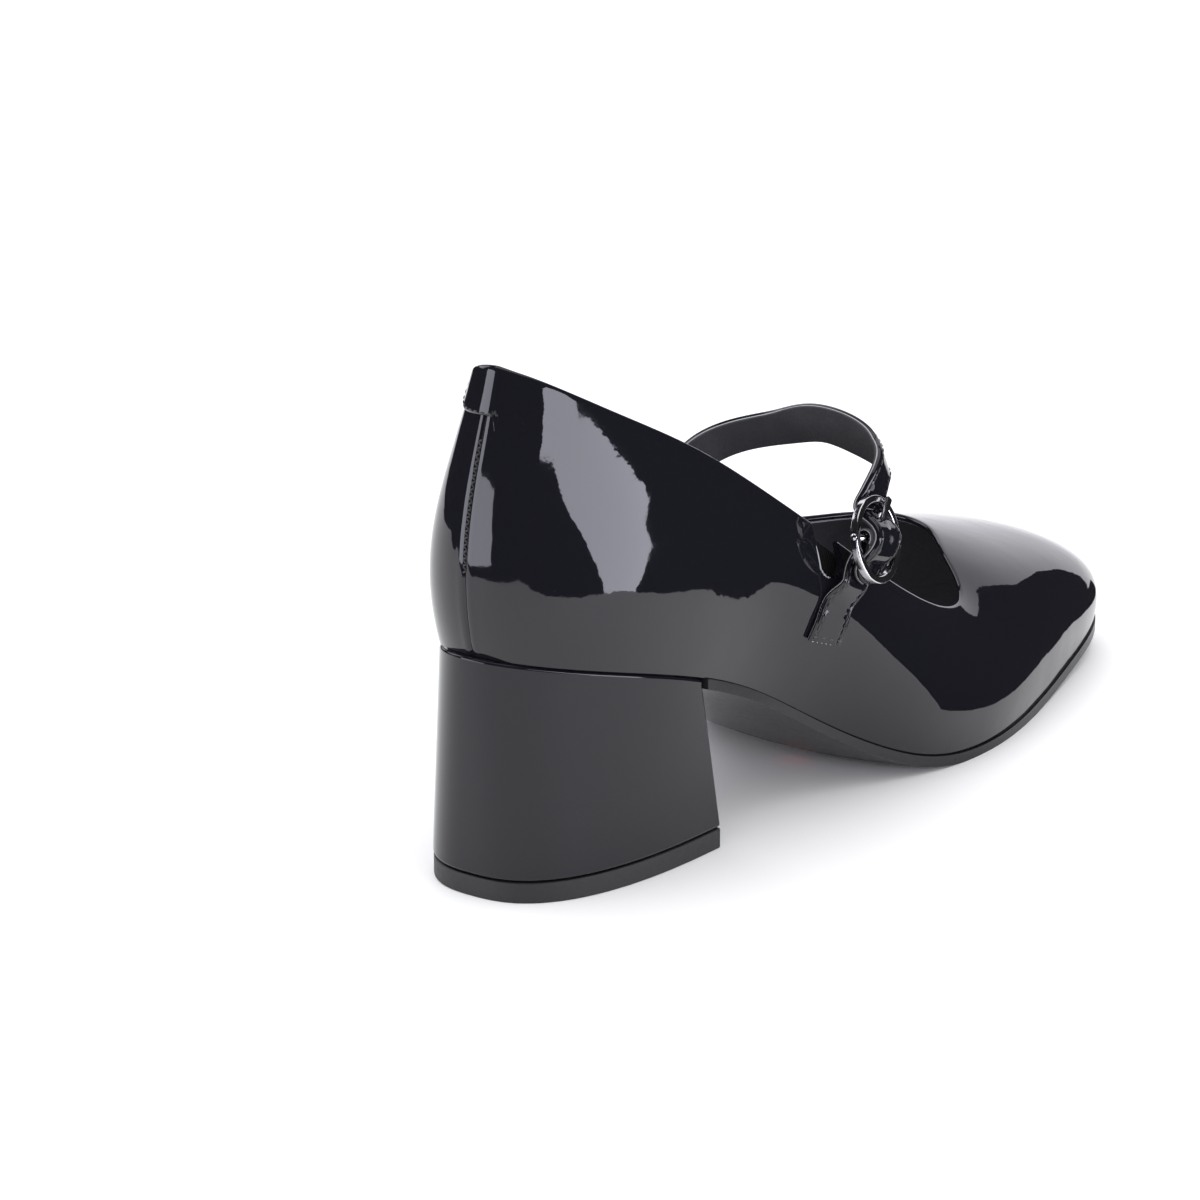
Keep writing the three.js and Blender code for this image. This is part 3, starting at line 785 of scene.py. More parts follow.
def build_back_tab():
    """The outer quarter's end, folded over the back seam onto the inner side."""
    x = np.concatenate((np.linspace(-TAB["lateral"], 0, 24), np.linspace(0.3, TAB["reach"], 70)))
    u = -x / BACK_STEP
    speed = top_speed(u)
    crown = 1 - FOLD_RISE / speed
    drop = np.maximum(tab_drop(x), 0.25)
    full = TAB["thick"] * np.clip((x + TAB["lateral"]) / (TAB["lateral"] - 1), 0, 1) ** 1.5
    smooth = 1 - tab_edge(x)
    low = crown - drop / speed * 0.97 - smooth * 0.05

    def height(share):
        """Height over the wall from the lower edge (0) to the topline (1)."""
        soft = np.clip(share / 0.55, 0, 1)
        soft = soft * soft * (3 - 2 * soft)
        sharp = np.clip(share / 0.035, 0, 1) ** 0.5
        return full * (smooth * soft + (1 - smooth) * sharp) - 0.03 * smooth * (share < 0.3)

    points = [wall_point(u, low, 0.25)]
    for share in (0, 0.005, 0.012, 0.022, 0.035, *np.linspace(0.07, 1, 24)):
        points.append(wall_point(u, low + (crown - low) * share, -height(share)))
    normal = last_normal(u, crown)
    upward = unit(last_point(u, crown) - last_point(u, crown - 0.01))
    rim = last_point(u, crown)
    thick = height(1.0)
    span = (FOLD_DEPTH + thick)[:, None]
    for angle in np.linspace(0, math.pi, 9)[1:]:
        depth = span / 2 * (1 - math.cos(angle)) - thick[:, None]
        rise = (FOLD_RISE + thick[:, None] * 0.6) * math.sin(angle) ** 0.7
        points.append(rim - normal * depth + upward * rise)
    for share in (0.97, 0.5, 0.03):
        points.append(wall_point(u, low + (crown - low) * share, 0.3))
    tab = loop_tube("back_tab", np.stack(points, 1), [MATERIALS["upper"]], sharp=50)
    finish_piece(tab, "patent")


# ------------------------------------------------------------------ sole, insole and heel
# The sole's start, its edge outside the upper, its thickness, and the waist's bulge underneath.
SOLE = {"start": 53.1, "edge": 0.5, "drop": 2.6, "belly": 2.6, "waist": 50, "waist_run": 40}
SOLE_UNDER_SEAT = 0.06
INSOLE = {"thick": 3.3, "clearance": 0.1, "crown": 0.5}


def bed_grid(first, inset, across_steps=28, along_steps=150):
    """Points across the foot bed from one feather edge to the other."""
    u = TOE_TIP - (TOE_TIP - first) * np.linspace(1, 0, along_steps) ** 1.4
    outer = last_point(u, 0) - outward(u) * inset
    inner = last_point(ROWS - u, 0) - outward(ROWS - u) * inset
    share = np.linspace(0, 1, across_steps)[None, :, None]
    return outer[:, None] * (1 - share) + inner[:, None] * share


def plate(name, grid, under, over, materials, crown=0.0):
    """A closed plate on the foot bed with its own underside and top."""
    s = grid[..., 0]
    below = grid.copy()
    above = grid.copy()
    across = np.linspace(-1, 1, grid.shape[1])[None, :]
    below[..., 2] = under(s, across)
    above[..., 2] = over(s) - crown * (1 - across ** 4)
    loops = np.concatenate((below, above[:, ::-1]), 1)
    return loop_tube(name, loops, materials, sharp=45)


def build_soles():
    """The outsole, from just ahead of the heel to the toe, and the insole inside the upper."""
    grid = bed_grid(2.0, -SOLE["edge"])
    middle = grid.shape[1] // 2
    start = int(np.argmin(np.abs(grid[:, middle, 0] - SOLE["start"])))
    grid = grid[start:]
    grid[0, :, 0] = SOLE["start"]

    def underside(s, side):
        waist = np.clip((s - SOLE["waist"]) / SOLE["waist_run"], 0, 1)
        belly = SOLE["belly"] * waist * waist * (3 - 2 * waist)
        return np.maximum(0, seat(s) - SOLE["drop"] - belly * (1 - side ** 2))

    sole = plate("outsole_plate", grid, underside, lambda s: seat(s) - SOLE_UNDER_SEAT,
                 [MATERIALS["sole"]])
    finish_piece(bevel(sole, 0.45), "sole", "outsole")
    grid = bed_grid(0.02, WALL + GAP + INSOLE["clearance"])
    sock = plate("insole_sock", grid, lambda s, _: seat(s), lambda s: seat(s) + INSOLE["thick"],
                 [MATERIALS["lining"]], INSOLE["crown"])
    finish_piece(bevel(sock, 0.5, angle=60), "lining", "insole")


HEEL_TOP = {"back": -0.4, "breast": 52, "half_width": 25.4, "power": 2.07}
HEEL_FOOT = {"back": 0.7, "breast": 58.6, "half_width": 26.3, "power": 2.6}


def heel_edge(outline, t, inset=0.0):
    """Half outline of the heel from its back (t = 0) to its breast (t = 1)."""
    angle = np.asarray(t) * math.pi / 2
    depth = outline["breast"] - outline["back"] - inset
    s = outline["breast"] - depth * np.clip(np.cos(angle), 0, 1) ** (2 / outline["power"])
    y = (outline["half_width"] - inset) * np.clip(np.sin(angle), 0, 1) ** (2 / outline["power"])
    return s, y


def heel_loop(outline, inset, height):
    """A closed level outline of the heel, its breast straight across."""
    t = np.linspace(0, 1, 64)
    s, y = heel_edge(outline, t, inset)
    cross = np.linspace(1, -1, 26)[1:-1] * y[-1]
    s = np.concatenate((s, np.full(len(cross), s[-1]), s[:0:-1]))
    y = np.concatenate((y, cross, -y[:0:-1]))
    return np.stack((s, y, height(s)), -1)


def build_heel():
    """The covered heel block and its rubber lift."""
    top = heel_loop(HEEL_TOP, 0, lambda s: seat(s) - GAP)
    foot = heel_loop(HEEL_FOOT, 0, lambda s: np.full_like(s, LIFT_TOP + GAP))
    shares = np.linspace(0, 1, 40)[:, None, None]
    loops = foot * (1 - shares) + top * shares
    block = loop_tube("heel_cover", loops, [MATERIALS["heel"]], sharp=45)
    finish_piece(bevel(block, 0.9, 5), "patent", "heel_block")
    heights = (0, LIFT_TOP * 0.5, LIFT_TOP)
    loops = [heel_loop(HEEL_FOOT, 0.2, lambda s, z=z: np.full_like(s, z)) for z in heights]
    lift = loop_tube("top_lift_rubber", loops, [MATERIALS["rubber"]], sharp=45)
    finish_piece(bevel(lift, 0.35), "lift", "top_lift")


# ------------------------------------------------------------------ straps and elastic
STITCH_PITCH = 2.1


def strap_section(width, thick, place, inset, swell):
    """Section of a strap at a place along it: stitched patent outside, lining inside.

    The swell is how far the border outside the stitches stands up.
    """
    half = width / 2
    edge = thick / 2
    points = []
    finish = []
    for share in np.linspace(-1, 1, 45):
        x = share * (half - 0.1)
        from_edge = half - abs(x)
        round_off = 0.35 * math.exp(-from_edge / 0.3)
        seam = 0.15 * math.exp(-((from_edge - inset) / 0.2) ** 2)
        ridge = swell * math.sin(math.pi * min(from_edge / inset, 1))
        inward = max(from_edge - inset, 0)
        pucker = 0.3 * swell * math.cos(2 * math.pi * place / STITCH_PITCH)
        pucker *= math.exp(-((inward - 0.55) / 0.4) ** 2)
        pillow = 0.6 * swell * (1 - math.exp(-(inward / 0.6) ** 2))
        points.append((x, edge - 0.08 - round_off - seam + ridge + pucker + pillow))
        finish.append(0)
    # Down the side: the patent's fold, the pale glue line, then the lining's own edge.
    bottom = -edge - 0.2 * thick
    side = [(half, edge * 0.4), (half, -edge * 0.3), (half - 0.1, -edge * 0.42)]
    side += [(half - 0.12, -edge * 0.75), (half - 0.15, bottom + 0.12), (half - 0.4, bottom)]
    points += side + [(-x, height) for x, height in side[::-1]]
    finish += [0, 0, 2, 1, 1, 1, 1, 1, 2, 0, 0, 0]
    return np.array(points), finish


def strap_width(left):
    """Width of the instep strap with a distance left to its tip."""
    tip = STRAP["end_width"] / 2
    blend = np.clip((left - 25) / 20, 0, 1)
    blend = blend * blend * (3 - 2 * blend)
    full = STRAP["end_width"] + (STRAP["width"] - STRAP["end_width"]) * blend
    near = np.clip(left, 0, tip) / tip
    return full * np.sqrt(np.clip(1 - (1 - near) ** 2, 0.02, 1))


def sweep(band, distances, widths, thick, inset, swell):
    """Sections of a strap along its band, with the finish of each strip."""
    loops = []
    for d, width in zip(distances, widths):
        section, finish = strap_section(width, thick, d, inset, swell)
        count = len(section)
        loops.append(band.point(np.full(count, d), section[:, 0], section[:, 1]))
    return loops, finish


# Side, up and half sizes of the strap's holes in the buckle's axes.
STRAP_HOLES = (
    (0.4, 4.2, (1.1, 2.3)),
    (0.0, -0.4, (0.8, 0.8)),
    (0.9, 12.0, (0.8, 0.8)),
)


def build_instep_strap(settings):
    """The strap with its holes and the rim round the hole below the prong's."""
    band = Band(*strap_guides(), face=-1)
    body = np.linspace(0, band.length - 4, 400)
    tip = band.length - 4 * (1 - np.sin(np.linspace(0, math.pi / 2, 16)[1:]))
    distances = np.concatenate((body, tip))
    widths = strap_width(band.length - distances)
    loops, finish = sweep(band, distances, widths, STRAP["thick"], settings.stitch_inset, 0.06)
    materials = [MATERIALS["strap"], MATERIALS["dark"], MATERIALS["raw"]]
    strap = loop_tube("instep_strap_band", loops, materials, finish, sharp=50)
    for side, up, radius in STRAP_HOLES:
        cut(strap, hole_cutter(side, up, *radius))
    finish_piece(strap, "patent", "instep_strap")
    turns = np.linspace(0, 2 * math.pi, 32, endpoint=False)
    rings = []
    for angle in np.linspace(0, 2 * math.pi, 10, endpoint=False):
        radius = 0.9 + 0.15 * math.cos(angle)
        ups = radius * np.sin(turns)
        outs = STRAP["thick"] / 2 + 3.52 - ups ** 2 * 0.16 + 0.15 * math.sin(angle)
        rings.append(at_buckle(radius * np.cos(turns), ups - 0.4, outs))
    edge = ring_body("strap_hole_edge", np.stack(rings, 1), [MATERIALS["strap"]], sharp=60)
    finish_piece(edge, "patent")


def hole_cutter(side, up, half_side, half_up):
    """An oval body through the strap."""
    turns = np.linspace(0, 2 * math.pi, 24, endpoint=False)
    sides = side + half_side * np.cos(turns)
    ups = up + half_up * np.sin(turns)
    loops = [at_buckle(sides, ups, out) for out in (-5.0, 6.0)]
    return loop_tube("hole_cutter", loops, [MATERIALS["raw"]])


def build_buckle_strap(settings):
    """The short strap up the quarter and its fold round the buckle's bar."""
    band = Band(*chape_guides())
    distances = np.linspace(0, band.length, 130)
    widths = np.full(130, CHAPE["width"])
    loops, finish = sweep(band, distances, widths, CHAPE["thick"], settings.stitch_inset, 0.15)
    materials = [MATERIALS["strap"], MATERIALS["dark"], MATERIALS["raw"]]
    fold = []
    section, _ = strap_section(CHAPE["width"], CHAPE["thick"], 0.5, settings.stitch_inset, 0.08)
    radius = BAR_RADIUS + GAP + CHAPE["thick"] / 2
    for angle in np.linspace(0.1, 1.25 * math.pi, 24):
        away = -radius * math.cos(angle) * BUCKLE_OUT + radius * math.sin(angle) * BUCKLE_UP
        # The strap comes up behind the bar, so its patent faces the bar all round the fold.
        face = unit(away)
        fold.append([BUCKLE_CENTRE + away + BUCKLE_SIDE * x - face * h for x, h in section])
    tail = loop_tube("buckle_strap_band", loops, materials, finish, sharp=50)
    loop = loop_tube("buckle_strap_fold", fold, materials, finish, sharp=50)
    for piece in (tail, loop):
        cut(piece, slot_cutter())
    finish_piece(tail, "patent", "buckle_strap")
    finish_piece(loop, "patent")


def slot_cutter():
    """Slot in the fold that lets the prong through."""
    outline = ((-1.5, -2.5), (1.5, -2.5), (1.5, 2.9), (-1.5, 2.9))
    sides, ups = np.array(outline).T
    loops = [at_buckle(sides, ups, out) for out in (-4.5, 4.5)]
    return loop_tube("slot_cutter", loops, [MATERIALS["raw"]])


def build_gore():
    """The elastic web inside the notch."""
    u = np.linspace(GORE["start"], GORE["end"], 60)
    heights = np.linspace(GORE["low"], GORE["high"], 50)
    near = WALL + GAP
    outer = [wall_point(u, v, near) for v in heights]
    inner = [wall_point(u, v, near + GORE["thick"]) for v in heights]
    loops = np.concatenate((np.stack(outer, 1), np.stack(inner, 1)[:, ::-1]), 1)
    gore = loop_tube("elastic_gore_web", loops, [MATERIALS["elastic"]], sharp=45)
    finish_piece(gore, "elastic", "elastic_gore")


# ------------------------------------------------------------------ buckle
def ring_point(inset, turn, out):
    """A point on the oval rim, inset from its outer edge."""
    side = (RIM["half_width"] - inset) * np.cos(turn)
    up = (RIM["half_length"] - inset) * np.sin(turn)
    return at_buckle(side, up, out)


def build_buckle_frame():
    """The oval rim with its bevelled face, and the bar across it."""
    half = RIM["thick"] / 2
    band = RIM["band"]
    profile = (
        (0.15, -half), (0, -half + 0.15), (0, half - 0.32), (0.04, half - 0.16),
        (0.16, half - 0.04), (0.32, half), (0.36, half), (band - 0.26, half - 0.02),
        (band - 0.22, half - 0.03), (band - 0.1, half - 0.08), (band, half - 0.24),
        (band, -half + 0.15), (band - 0.15, -half),
    )
    turns = np.linspace(0, 2 * math.pi, 128, endpoint=False)
    loops = np.stack([ring_point(inset, turns, out) for inset, out in profile], 1)
    rim = ring_body("buckle_rim", loops, [MATERIALS["metal"]], sharp=35)
    finish_piece(rim, "buckle", "buckle_frame")
    reach = RIM["half_width"] + 0.3
    stops = (-reach, -reach + 0.08, -reach + 0.25, reach - 0.25, reach - 0.08, reach)
    sizes = (0.3, 0.6, 0.8, 0.8, 0.6, 0.3)
    turns = np.linspace(0, 2 * math.pi, 24, endpoint=False)
    loops = []
    for side, size in zip(stops, sizes):
        radius = BAR_RADIUS * size / 0.8
        loops.append(at_buckle(side, radius * np.cos(turns), radius * np.sin(turns)))
    bar = loop_tube("buckle_bar", loops, [MATERIALS["metal"]], sharp=60)
    finish_piece(bar, "buckle")


PRONG_ROUTE = ((0, 1.5, 0.3), (0.1, 3, 0.9), (0.4, 4.6, 1.6), (1.2, 6.6, 2), (2.9, 9.4, 2))


def build_prong():
    """Flat-sided prong that ends in a squared tip on the rim, with its eye round the bar."""
    route = np.array([at_buckle(*row) for row in PRONG_ROUTE])
    places = np.concatenate(([0], np.cumsum(np.linalg.norm(np.diff(route, axis=0), axis=1))))
    line = natural_spline(places, route)
    distances = np.concatenate((np.linspace(0, places[-1] - 0.2, 30), [places[-1]]))
    loops = []
    turns = np.linspace(0, 2 * math.pi, 16, endpoint=False)
    for k, d in enumerate(distances):
        tangent = unit(line(d + 0.05) - line(d - 0.05))
        side = unit(np.cross(BUCKLE_OUT, tangent))
        out = np.cross(tangent, side)
        size = 1.0 if k < len(distances) - 1 else 0.85
        square = 1 / np.maximum(np.abs(np.cos(turns)), np.abs(np.sin(turns))) ** 0.8
        ring = [line(d) + size * q * (0.78 * side * math.cos(a) + 0.55 * out * math.sin(a))
                for a, q in zip(turns, square)]
        loops.append(ring)
    prong = loop_tube("buckle_prong_shaft", loops, [MATERIALS["metal"]], sharp=30)
    finish_piece(prong, "buckle", "buckle_prong")
    outer = BAR_RADIUS + 1.05
    inner = BAR_RADIUS + 0.2
    section = ((inner, -0.8), (outer - 0.15, -0.85), (outer, -0.6), (outer, 0.6),
               (outer - 0.15, 0.85), (inner, 0.8))
    turns = np.linspace(0, 2 * math.pi, 40, endpoint=False)
    loops = np.stack([at_buckle(x, r * np.cos(turns), r * np.sin(turns))
                      for r, x in section], 1)
    eye = ring_body("prong_eye", loops, [MATERIALS["metal"]], sharp=35)
    finish_piece(eye, "buckle")


# ------------------------------------------------------------------ stitching
def stitch_tree():
    """Geometry nodes that lay short stitches along every chain of edges."""
    tree = bpy.data.node_groups.new("Stitch rows", "GeometryNodeTree")
    face = tree.interface
    face.new_socket("Geometry", in_out="INPUT", socket_type="NodeSocketGeometry")
    for name, default in (("Pitch", 0.002), ("Length", 0.0015), ("Thickness", 0.0004),
                          ("Zigzag", 0.0), ("Jitter", 0.05)):
        socket = face.new_socket(name, in_out="INPUT", socket_type="NodeSocketFloat")
        socket.default_value = default
    face.new_socket("Seed", in_out="INPUT", socket_type="NodeSocketInt").default_value = 7
    face.new_socket("Thread", in_out="INPUT", socket_type="NodeSocketMaterial")
    face.new_socket("Geometry", in_out="OUTPUT", socket_type="NodeSocketGeometry")

    def node(kind, settings=None, links=None, values=None):
        made = tree.nodes.new(kind)
        for key, value in (settings or {}).items():
            setattr(made, key, value)
        for key, value in (values or {}).items():
            made.inputs[key].default_value = value
        for key, source in (links or {}).items():
            tree.links.new(source, made.inputs[key])
        return made

    given = node("NodeGroupInput").outputs
    curve = node("GeometryNodeMeshToCurve", links={"Mesh": given["Geometry"]})
    spaced = node("GeometryNodeResampleCurve", {"mode": "LENGTH"},
                  {"Curve": curve.outputs[0], "Length": given["Pitch"]})
    tangent = node("GeometryNodeInputTangent")
    outside = node("GeometryNodeInputNamedAttribute", {"data_type": "FLOAT_VECTOR"},
                   values={"Name": "outside"})
    along = node("FunctionNodeAlignRotationToVector", {"axis": "X"},
                 {"Vector": tangent.outputs[0]})
    facing = node("FunctionNodeAlignRotationToVector", {"axis": "Z", "pivot_axis": "X"},
                  {"Rotation": along.outputs[0], "Vector": outside.outputs[0]})
    index = node("GeometryNodeInputIndex")
    parity = node("ShaderNodeMath", {"operation": "MODULO"}, {0: index.outputs[0]}, {1: 2.0})
    signed = node("ShaderNodeMath", {"operation": "MULTIPLY_ADD"}, {0: parity.outputs[0]},
                  {1: 2.0, 2: -1.0})
    lean = node("ShaderNodeMath", {"operation": "MULTIPLY"},
                {0: signed.outputs[0], 1: given["Zigzag"]})
    wobble = node("FunctionNodeRandomValue", {"data_type": "FLOAT"}, {"Seed": given["Seed"]},
                  {2: -1.0, 3: 1.0})
    jitter = node("ShaderNodeMath", {"operation": "MULTIPLY"},
                  {0: wobble.outputs[1], 1: given["Jitter"]})
    total = node("ShaderNodeMath", {"operation": "ADD"}, {0: lean.outputs[0], 1: jitter.outputs[0]})
    spin = node("ShaderNodeCombineXYZ", links={"Z": total.outputs[0]})
    turned = node("FunctionNodeRotateRotation", {"rotation_space": "LOCAL"},
                  {"Rotation": facing.outputs[0], "Rotate By": spin.outputs[0]})
    ball = node("GeometryNodeMeshUVSphere", values={"Segments": 8, "Rings": 6, "Radius": 0.5})
    size = node("ShaderNodeCombineXYZ", links={"X": given["Length"], "Y": given["Thickness"],
                                               "Z": given["Thickness"]})
    stitch = node("GeometryNodeTransform", links={"Geometry": ball.outputs[0],
                                                  "Scale": size.outputs[0]})
    rows = node("GeometryNodeInstanceOnPoints",
                links={"Points": spaced.outputs[0], "Instance": stitch.outputs[0],
                       "Rotation": turned.outputs[0]})
    real = node("GeometryNodeRealizeInstances", links={"Geometry": rows.outputs[0]})
    smooth = node("GeometryNodeSetShadeSmooth", links={"Geometry": real.outputs[0]})
    painted = node("GeometryNodeSetMaterial",
                   links={"Geometry": smooth.outputs[0], "Material": given["Thread"]})
    node("NodeGroupOutput", links={"Geometry": painted.outputs[0]})
    return tree


STRAP_STITCH = {"pitch": STITCH_PITCH * MM, "length": 0.0017, "thickness": 0.0004,
                "jitter": 0.04}


def stitch_rows(name, chains, thread, **sizes):
    """Lays stitches on chains of points, each with its outward directions."""
    tree = bpy.data.node_groups.get("Stitch rows") or stitch_tree()
    points = np.concatenate([chain[0] for chain in chains])
    outside = np.concatenate([chain[1] for chain in chains])
    edges = []
    start = 0
    for chain, _ in chains:
        edges += [(start + i, start + i + 1) for i in range(len(chain) - 1)]
        start += len(chain)
    mesh = bpy.data.meshes.new(name)
    mesh.from_pydata(place(points).tolist(), edges, [])
    attribute = mesh.attributes.new("outside", "FLOAT_VECTOR", "POINT")
    attribute.data.foreach_set("vector", outside.ravel())
    piece = add_object(name, mesh)
    modifier = piece.modifiers.new("Stitches", "NODES")
    modifier.node_group = tree
    inputs = {item.name: item.identifier for item in tree.interface.items_tree
              if item.item_type == "SOCKET" and item.in_out == "INPUT"}
    for key, value in sizes.items():
        modifier[inputs[key.title()]] = value
    modifier[inputs["Thread"]] = thread
    apply_modifiers(piece)
    finish_piece(piece, "elastic")


def band_chain(band, start, end, side, out, count=60):
    """A row along a band at a side distance, with its outward directions."""
    d = np.linspace(start, end, count)
    side = np.broadcast_to(np.asarray(side, float), d.shape)
    _, _, away = band.axes(d)
    return band.point(d, side, out), away


def build_strap_stitches(settings):
    """The rows inside the borders of both straps, and loose thread ends at the short one's foot."""
    band = Band(*strap_guides(), face=-1)
    start = 30
    end = band.length - 5
    d = np.linspace(start, end, 160)
    inset = strap_width(band.length - d) / 2 - settings.stitch_inset
    out = STRAP["thick"] / 2 - 0.02
    chains = [band_chain(band, start, end, inset * hand, out, 160) for hand in (-1, 1)]
    turn = np.linspace(0, math.pi, 20)
    tip_side = np.cos(turn) * inset[-1]
    centre, across, away = band.axes(end + np.sin(turn) * 3.4)
    chains.append((centre + across * tip_side[:, None] + away * out, away))
    stitch_rows("strap_stitches", chains, MATERIALS["thread"], **STRAP_STITCH)
    band = Band(*chape_guides())
    foot = 1.2
    half = CHAPE["width"] / 2 - settings.stitch_inset
    out = CHAPE["thick"] / 2 - 0.02
    chains = [band_chain(band, foot, band.length - 6, half * hand, out) for hand in (-1, 1)]
    row = np.full(12, foot)
    chains.append((band.point(row, np.linspace(-half, half, 12), out), band.axes(row)[2]))
    stitch_rows("buckle_strap_stitches", chains, MATERIALS["thread"], **STRAP_STITCH)
    row = np.zeros(5)
    ends = band.point(row, np.linspace(-half + 0.6, half - 1.5, 5), -0.1)
    ends -= unit(band.centre(1) - band.centre(0)) * 0.15
    stitch_rows("buckle_strap_thread_ends", [(ends, band.axes(row)[2])], MATERIALS["loose"],
                pitch=0.0013, length=0.0005, thickness=0.00045, jitter=0.9)


def build_back_stitches():
    """The worked row down the back seam, the tab's edge row and its bartack."""
    v = np.linspace(0.77, 0.3, 60)
    chain = wall_point(0, v, 0.02), last_normal(0, v)
    stitch_rows("back_seam_stitches", [chain], MATERIALS["worked"], pitch=0.00075,
                length=0.0013, thickness=0.00045, zigzag=1.05, jitter=0.12)
    x = np.linspace(-1.5, TAB["reach"] - 1.6, 60)
    u = -x / BACK_STEP
    speed = top_speed(u)
    v = 1 - (tab_drop(x + 1.0) - 0.9 + FOLD_RISE) / speed
    chain = wall_point(u, v, -TAB["thick"]), last_normal(u, v)
    stitch_rows("back_tab_stitches", [chain], MATERIALS["worked"], pitch=0.0019,
                length=0.0015, thickness=0.00042, jitter=0.05)
    x = np.linspace(-2.9, -2.1, 4)
    u = -x / BACK_STEP
    v = 1 - (TAB["height"] - 0.6) / top_speed(u)
    chain = wall_point(u, v, -TAB["thick"] * 0.5), last_normal(u, v)
    stitch_rows("bartack_stitches", [chain], MATERIALS["worked"], pitch=0.0003,
                length=0.0013, thickness=0.0004, zigzag=1.3, jitter=0.2)


# ------------------------------------------------------------------ stage
def light_panel(name, target, distance, outline, strength, tint):
    """A shaped glowing panel seen from the target within an outline of azimuths and elevations."""
    corners = []
    for az, el in outline:
        az, el = math.radians(az), math.radians(el)
        away = Vector((math.cos(az) * math.cos(el), math.sin(az) * math.cos(el), math.sin(el)))
        corners.append(Vector(target) + away * distance)
    mesh = bpy.data.meshes.new(name)
    mesh.from_pydata(corners, [], [list(range(len(corners)))])
    glow = bpy.data.materials.new(name + "_glow")
    glow.use_nodes = True
    tree = glow.node_tree
    tree.nodes.clear()
    emission = tree.nodes.new("ShaderNodeEmission")
    emission.inputs["Color"].default_value = (*tint, 1.0)
    emission.inputs["Strength"].default_value = strength
    output = tree.nodes.new("ShaderNodeOutputMaterial")
    tree.links.new(emission.outputs[0], output.inputs["Surface"])
    mesh.materials.append(glow)
    lamp = add_object(name, mesh)
    lamp.visible_camera = False
    lamp.visible_shadow = False


def overhead_light(strength):
    """One broad soft light above the shoe."""
    data = bpy.data.lights.new("overhead", "AREA")
    data.shape = "RECTANGLE"
    data.size = data.size_y = 1.2
    data.energy = strength * data.size * data.size_y * math.pi
    lamp = add_object("overhead", data)
    lamp.location = (0.06, 0.1, 1.2)
    lamp.visible_camera = False


# Place in metres, angles in degrees, lens and sensor in millimetres, shift in frame widths.
CAMERA = {"at": (-0.9124, -0.6872, 0.4296), "heading": 53.5, "pitch": 17.83, "roll": 0.16,
          "lens": 163.35, "sensor": 36, "shift": (0.003667, -0.004667)}


def build_camera():
    """The camera behind the shoe on its outer side."""
    data = bpy.data.cameras.new("Camera")
    data.sensor_width = CAMERA["sensor"]
    data.lens = CAMERA["lens"]
    data.shift_x, data.shift_y = CAMERA["shift"]
    data.clip_start = 0.05
    data.clip_end = 20
    camera = add_object("Camera", data)
    camera.location = CAMERA["at"]
    yaw = math.radians(CAMERA["heading"])
    pitch = math.radians(CAMERA["pitch"])
    view = Vector((math.sin(yaw) * math.cos(pitch), math.cos(yaw) * math.cos(pitch),
                   -math.sin(pitch)))
    camera.rotation_mode = "QUATERNION"
    roll = Matrix.Rotation(math.radians(CAMERA["roll"]), 4, "Z").to_quaternion()
    camera.rotation_quaternion = view.to_track_quat("-Z", "Y") @ roll
    bpy.context.scene.camera = camera


def build_world():
    """White, but nearly dark in reflections, as in a studio with dark flags round the shoe."""
    world = bpy.data.worlds.new("Studio")
    world.use_nodes = True
    tree = world.node_tree
    tree.nodes.clear()
    path = tree.nodes.new("ShaderNodeLightPath")
    dark = tree.nodes.new("ShaderNodeBackground")
    dark.inputs["Color"].default_value = grey(0.02)
    pale = tree.nodes.new("ShaderNodeBackground")
    pale.inputs["Color"].default_value = (1.0, 1.0, 1.0, 1.0)
    pale.inputs["Strength"].default_value = 1.2
    mix = tree.nodes.new("ShaderNodeMixShader")
    output = tree.nodes.new("ShaderNodeOutputWorld")
    tree.links.new(path.outputs["Is Glossy Ray"], mix.inputs[0])
    tree.links.new(pale.outputs[0], mix.inputs[1])
    tree.links.new(dark.outputs[0], mix.inputs[2])
    tree.links.new(mix.outputs[0], output.inputs[0])
    bpy.context.scene.world = world


LILAC = (0.9, 0.9, 1.03)
PALE = (0.96, 0.96, 1.02)
# Name, target, distance, outline of azimuths and elevations seen from the target, strength, tint.
PANELS = (
    ("outer_softbox", (0.0, -0.02, 0.085), 1.0,
     ((-124, 15), (-108, 12), (-101, 7), (-89, -2), (-80, -12), (-78, -20), (-63, -20),
      (-58, -13), (-54, -8), (-56, -4), (-52, 1), (-58, 4), (-70, 8), (-84, 11), (-92, 18),
      (-116, 20)), 6.4, LILAC),
    ("back_softbox", (-0.03, 0.0, 0.085), 1.0,
     ((126, 19), (162, 19), (160, 11), (178, 9), (178, -12), (132, -12)), 4.2, LILAC),
    ("toe_panel", (0.17, -0.01, 0.035), 0.9,
     ((3, -11), (5, 6), (4, 15), (-8, 23), (-10, 36), (-5, 52), (70, 52), (75, 8), (40, -4)),
     1.3, PALE),
    ("inner_panel", (0.05, 0.03, 0.06), 0.9,
     ((80, 14), (78, 44), (118, 44), (112, 14)), 2.2, PALE),
)


def build_floor(settings):
    """The pale floor. The patent mirrors it, so its near edges shape the grey in the shoe."""
    corners = ((-0.27, 0.6), (-0.27, 0.05), (-0.235, -0.15), (-0.076, -0.213), (0.069, -0.229),
               (0.15, -0.15), (0.118, -0.062), (0.15, -0.053), (0.222, -0.03), (0.255, 0.0),
               (0.7, 0.03), (0.7, 0.6))
    mesh = bpy.data.meshes.new("floor")
    mesh.from_pydata([(x, y, 0) for x, y in corners], [], [list(range(len(corners)))])
    mesh.materials.append(floor_paint((*settings.floor, 1.0)))
    add_object("floor", mesh)


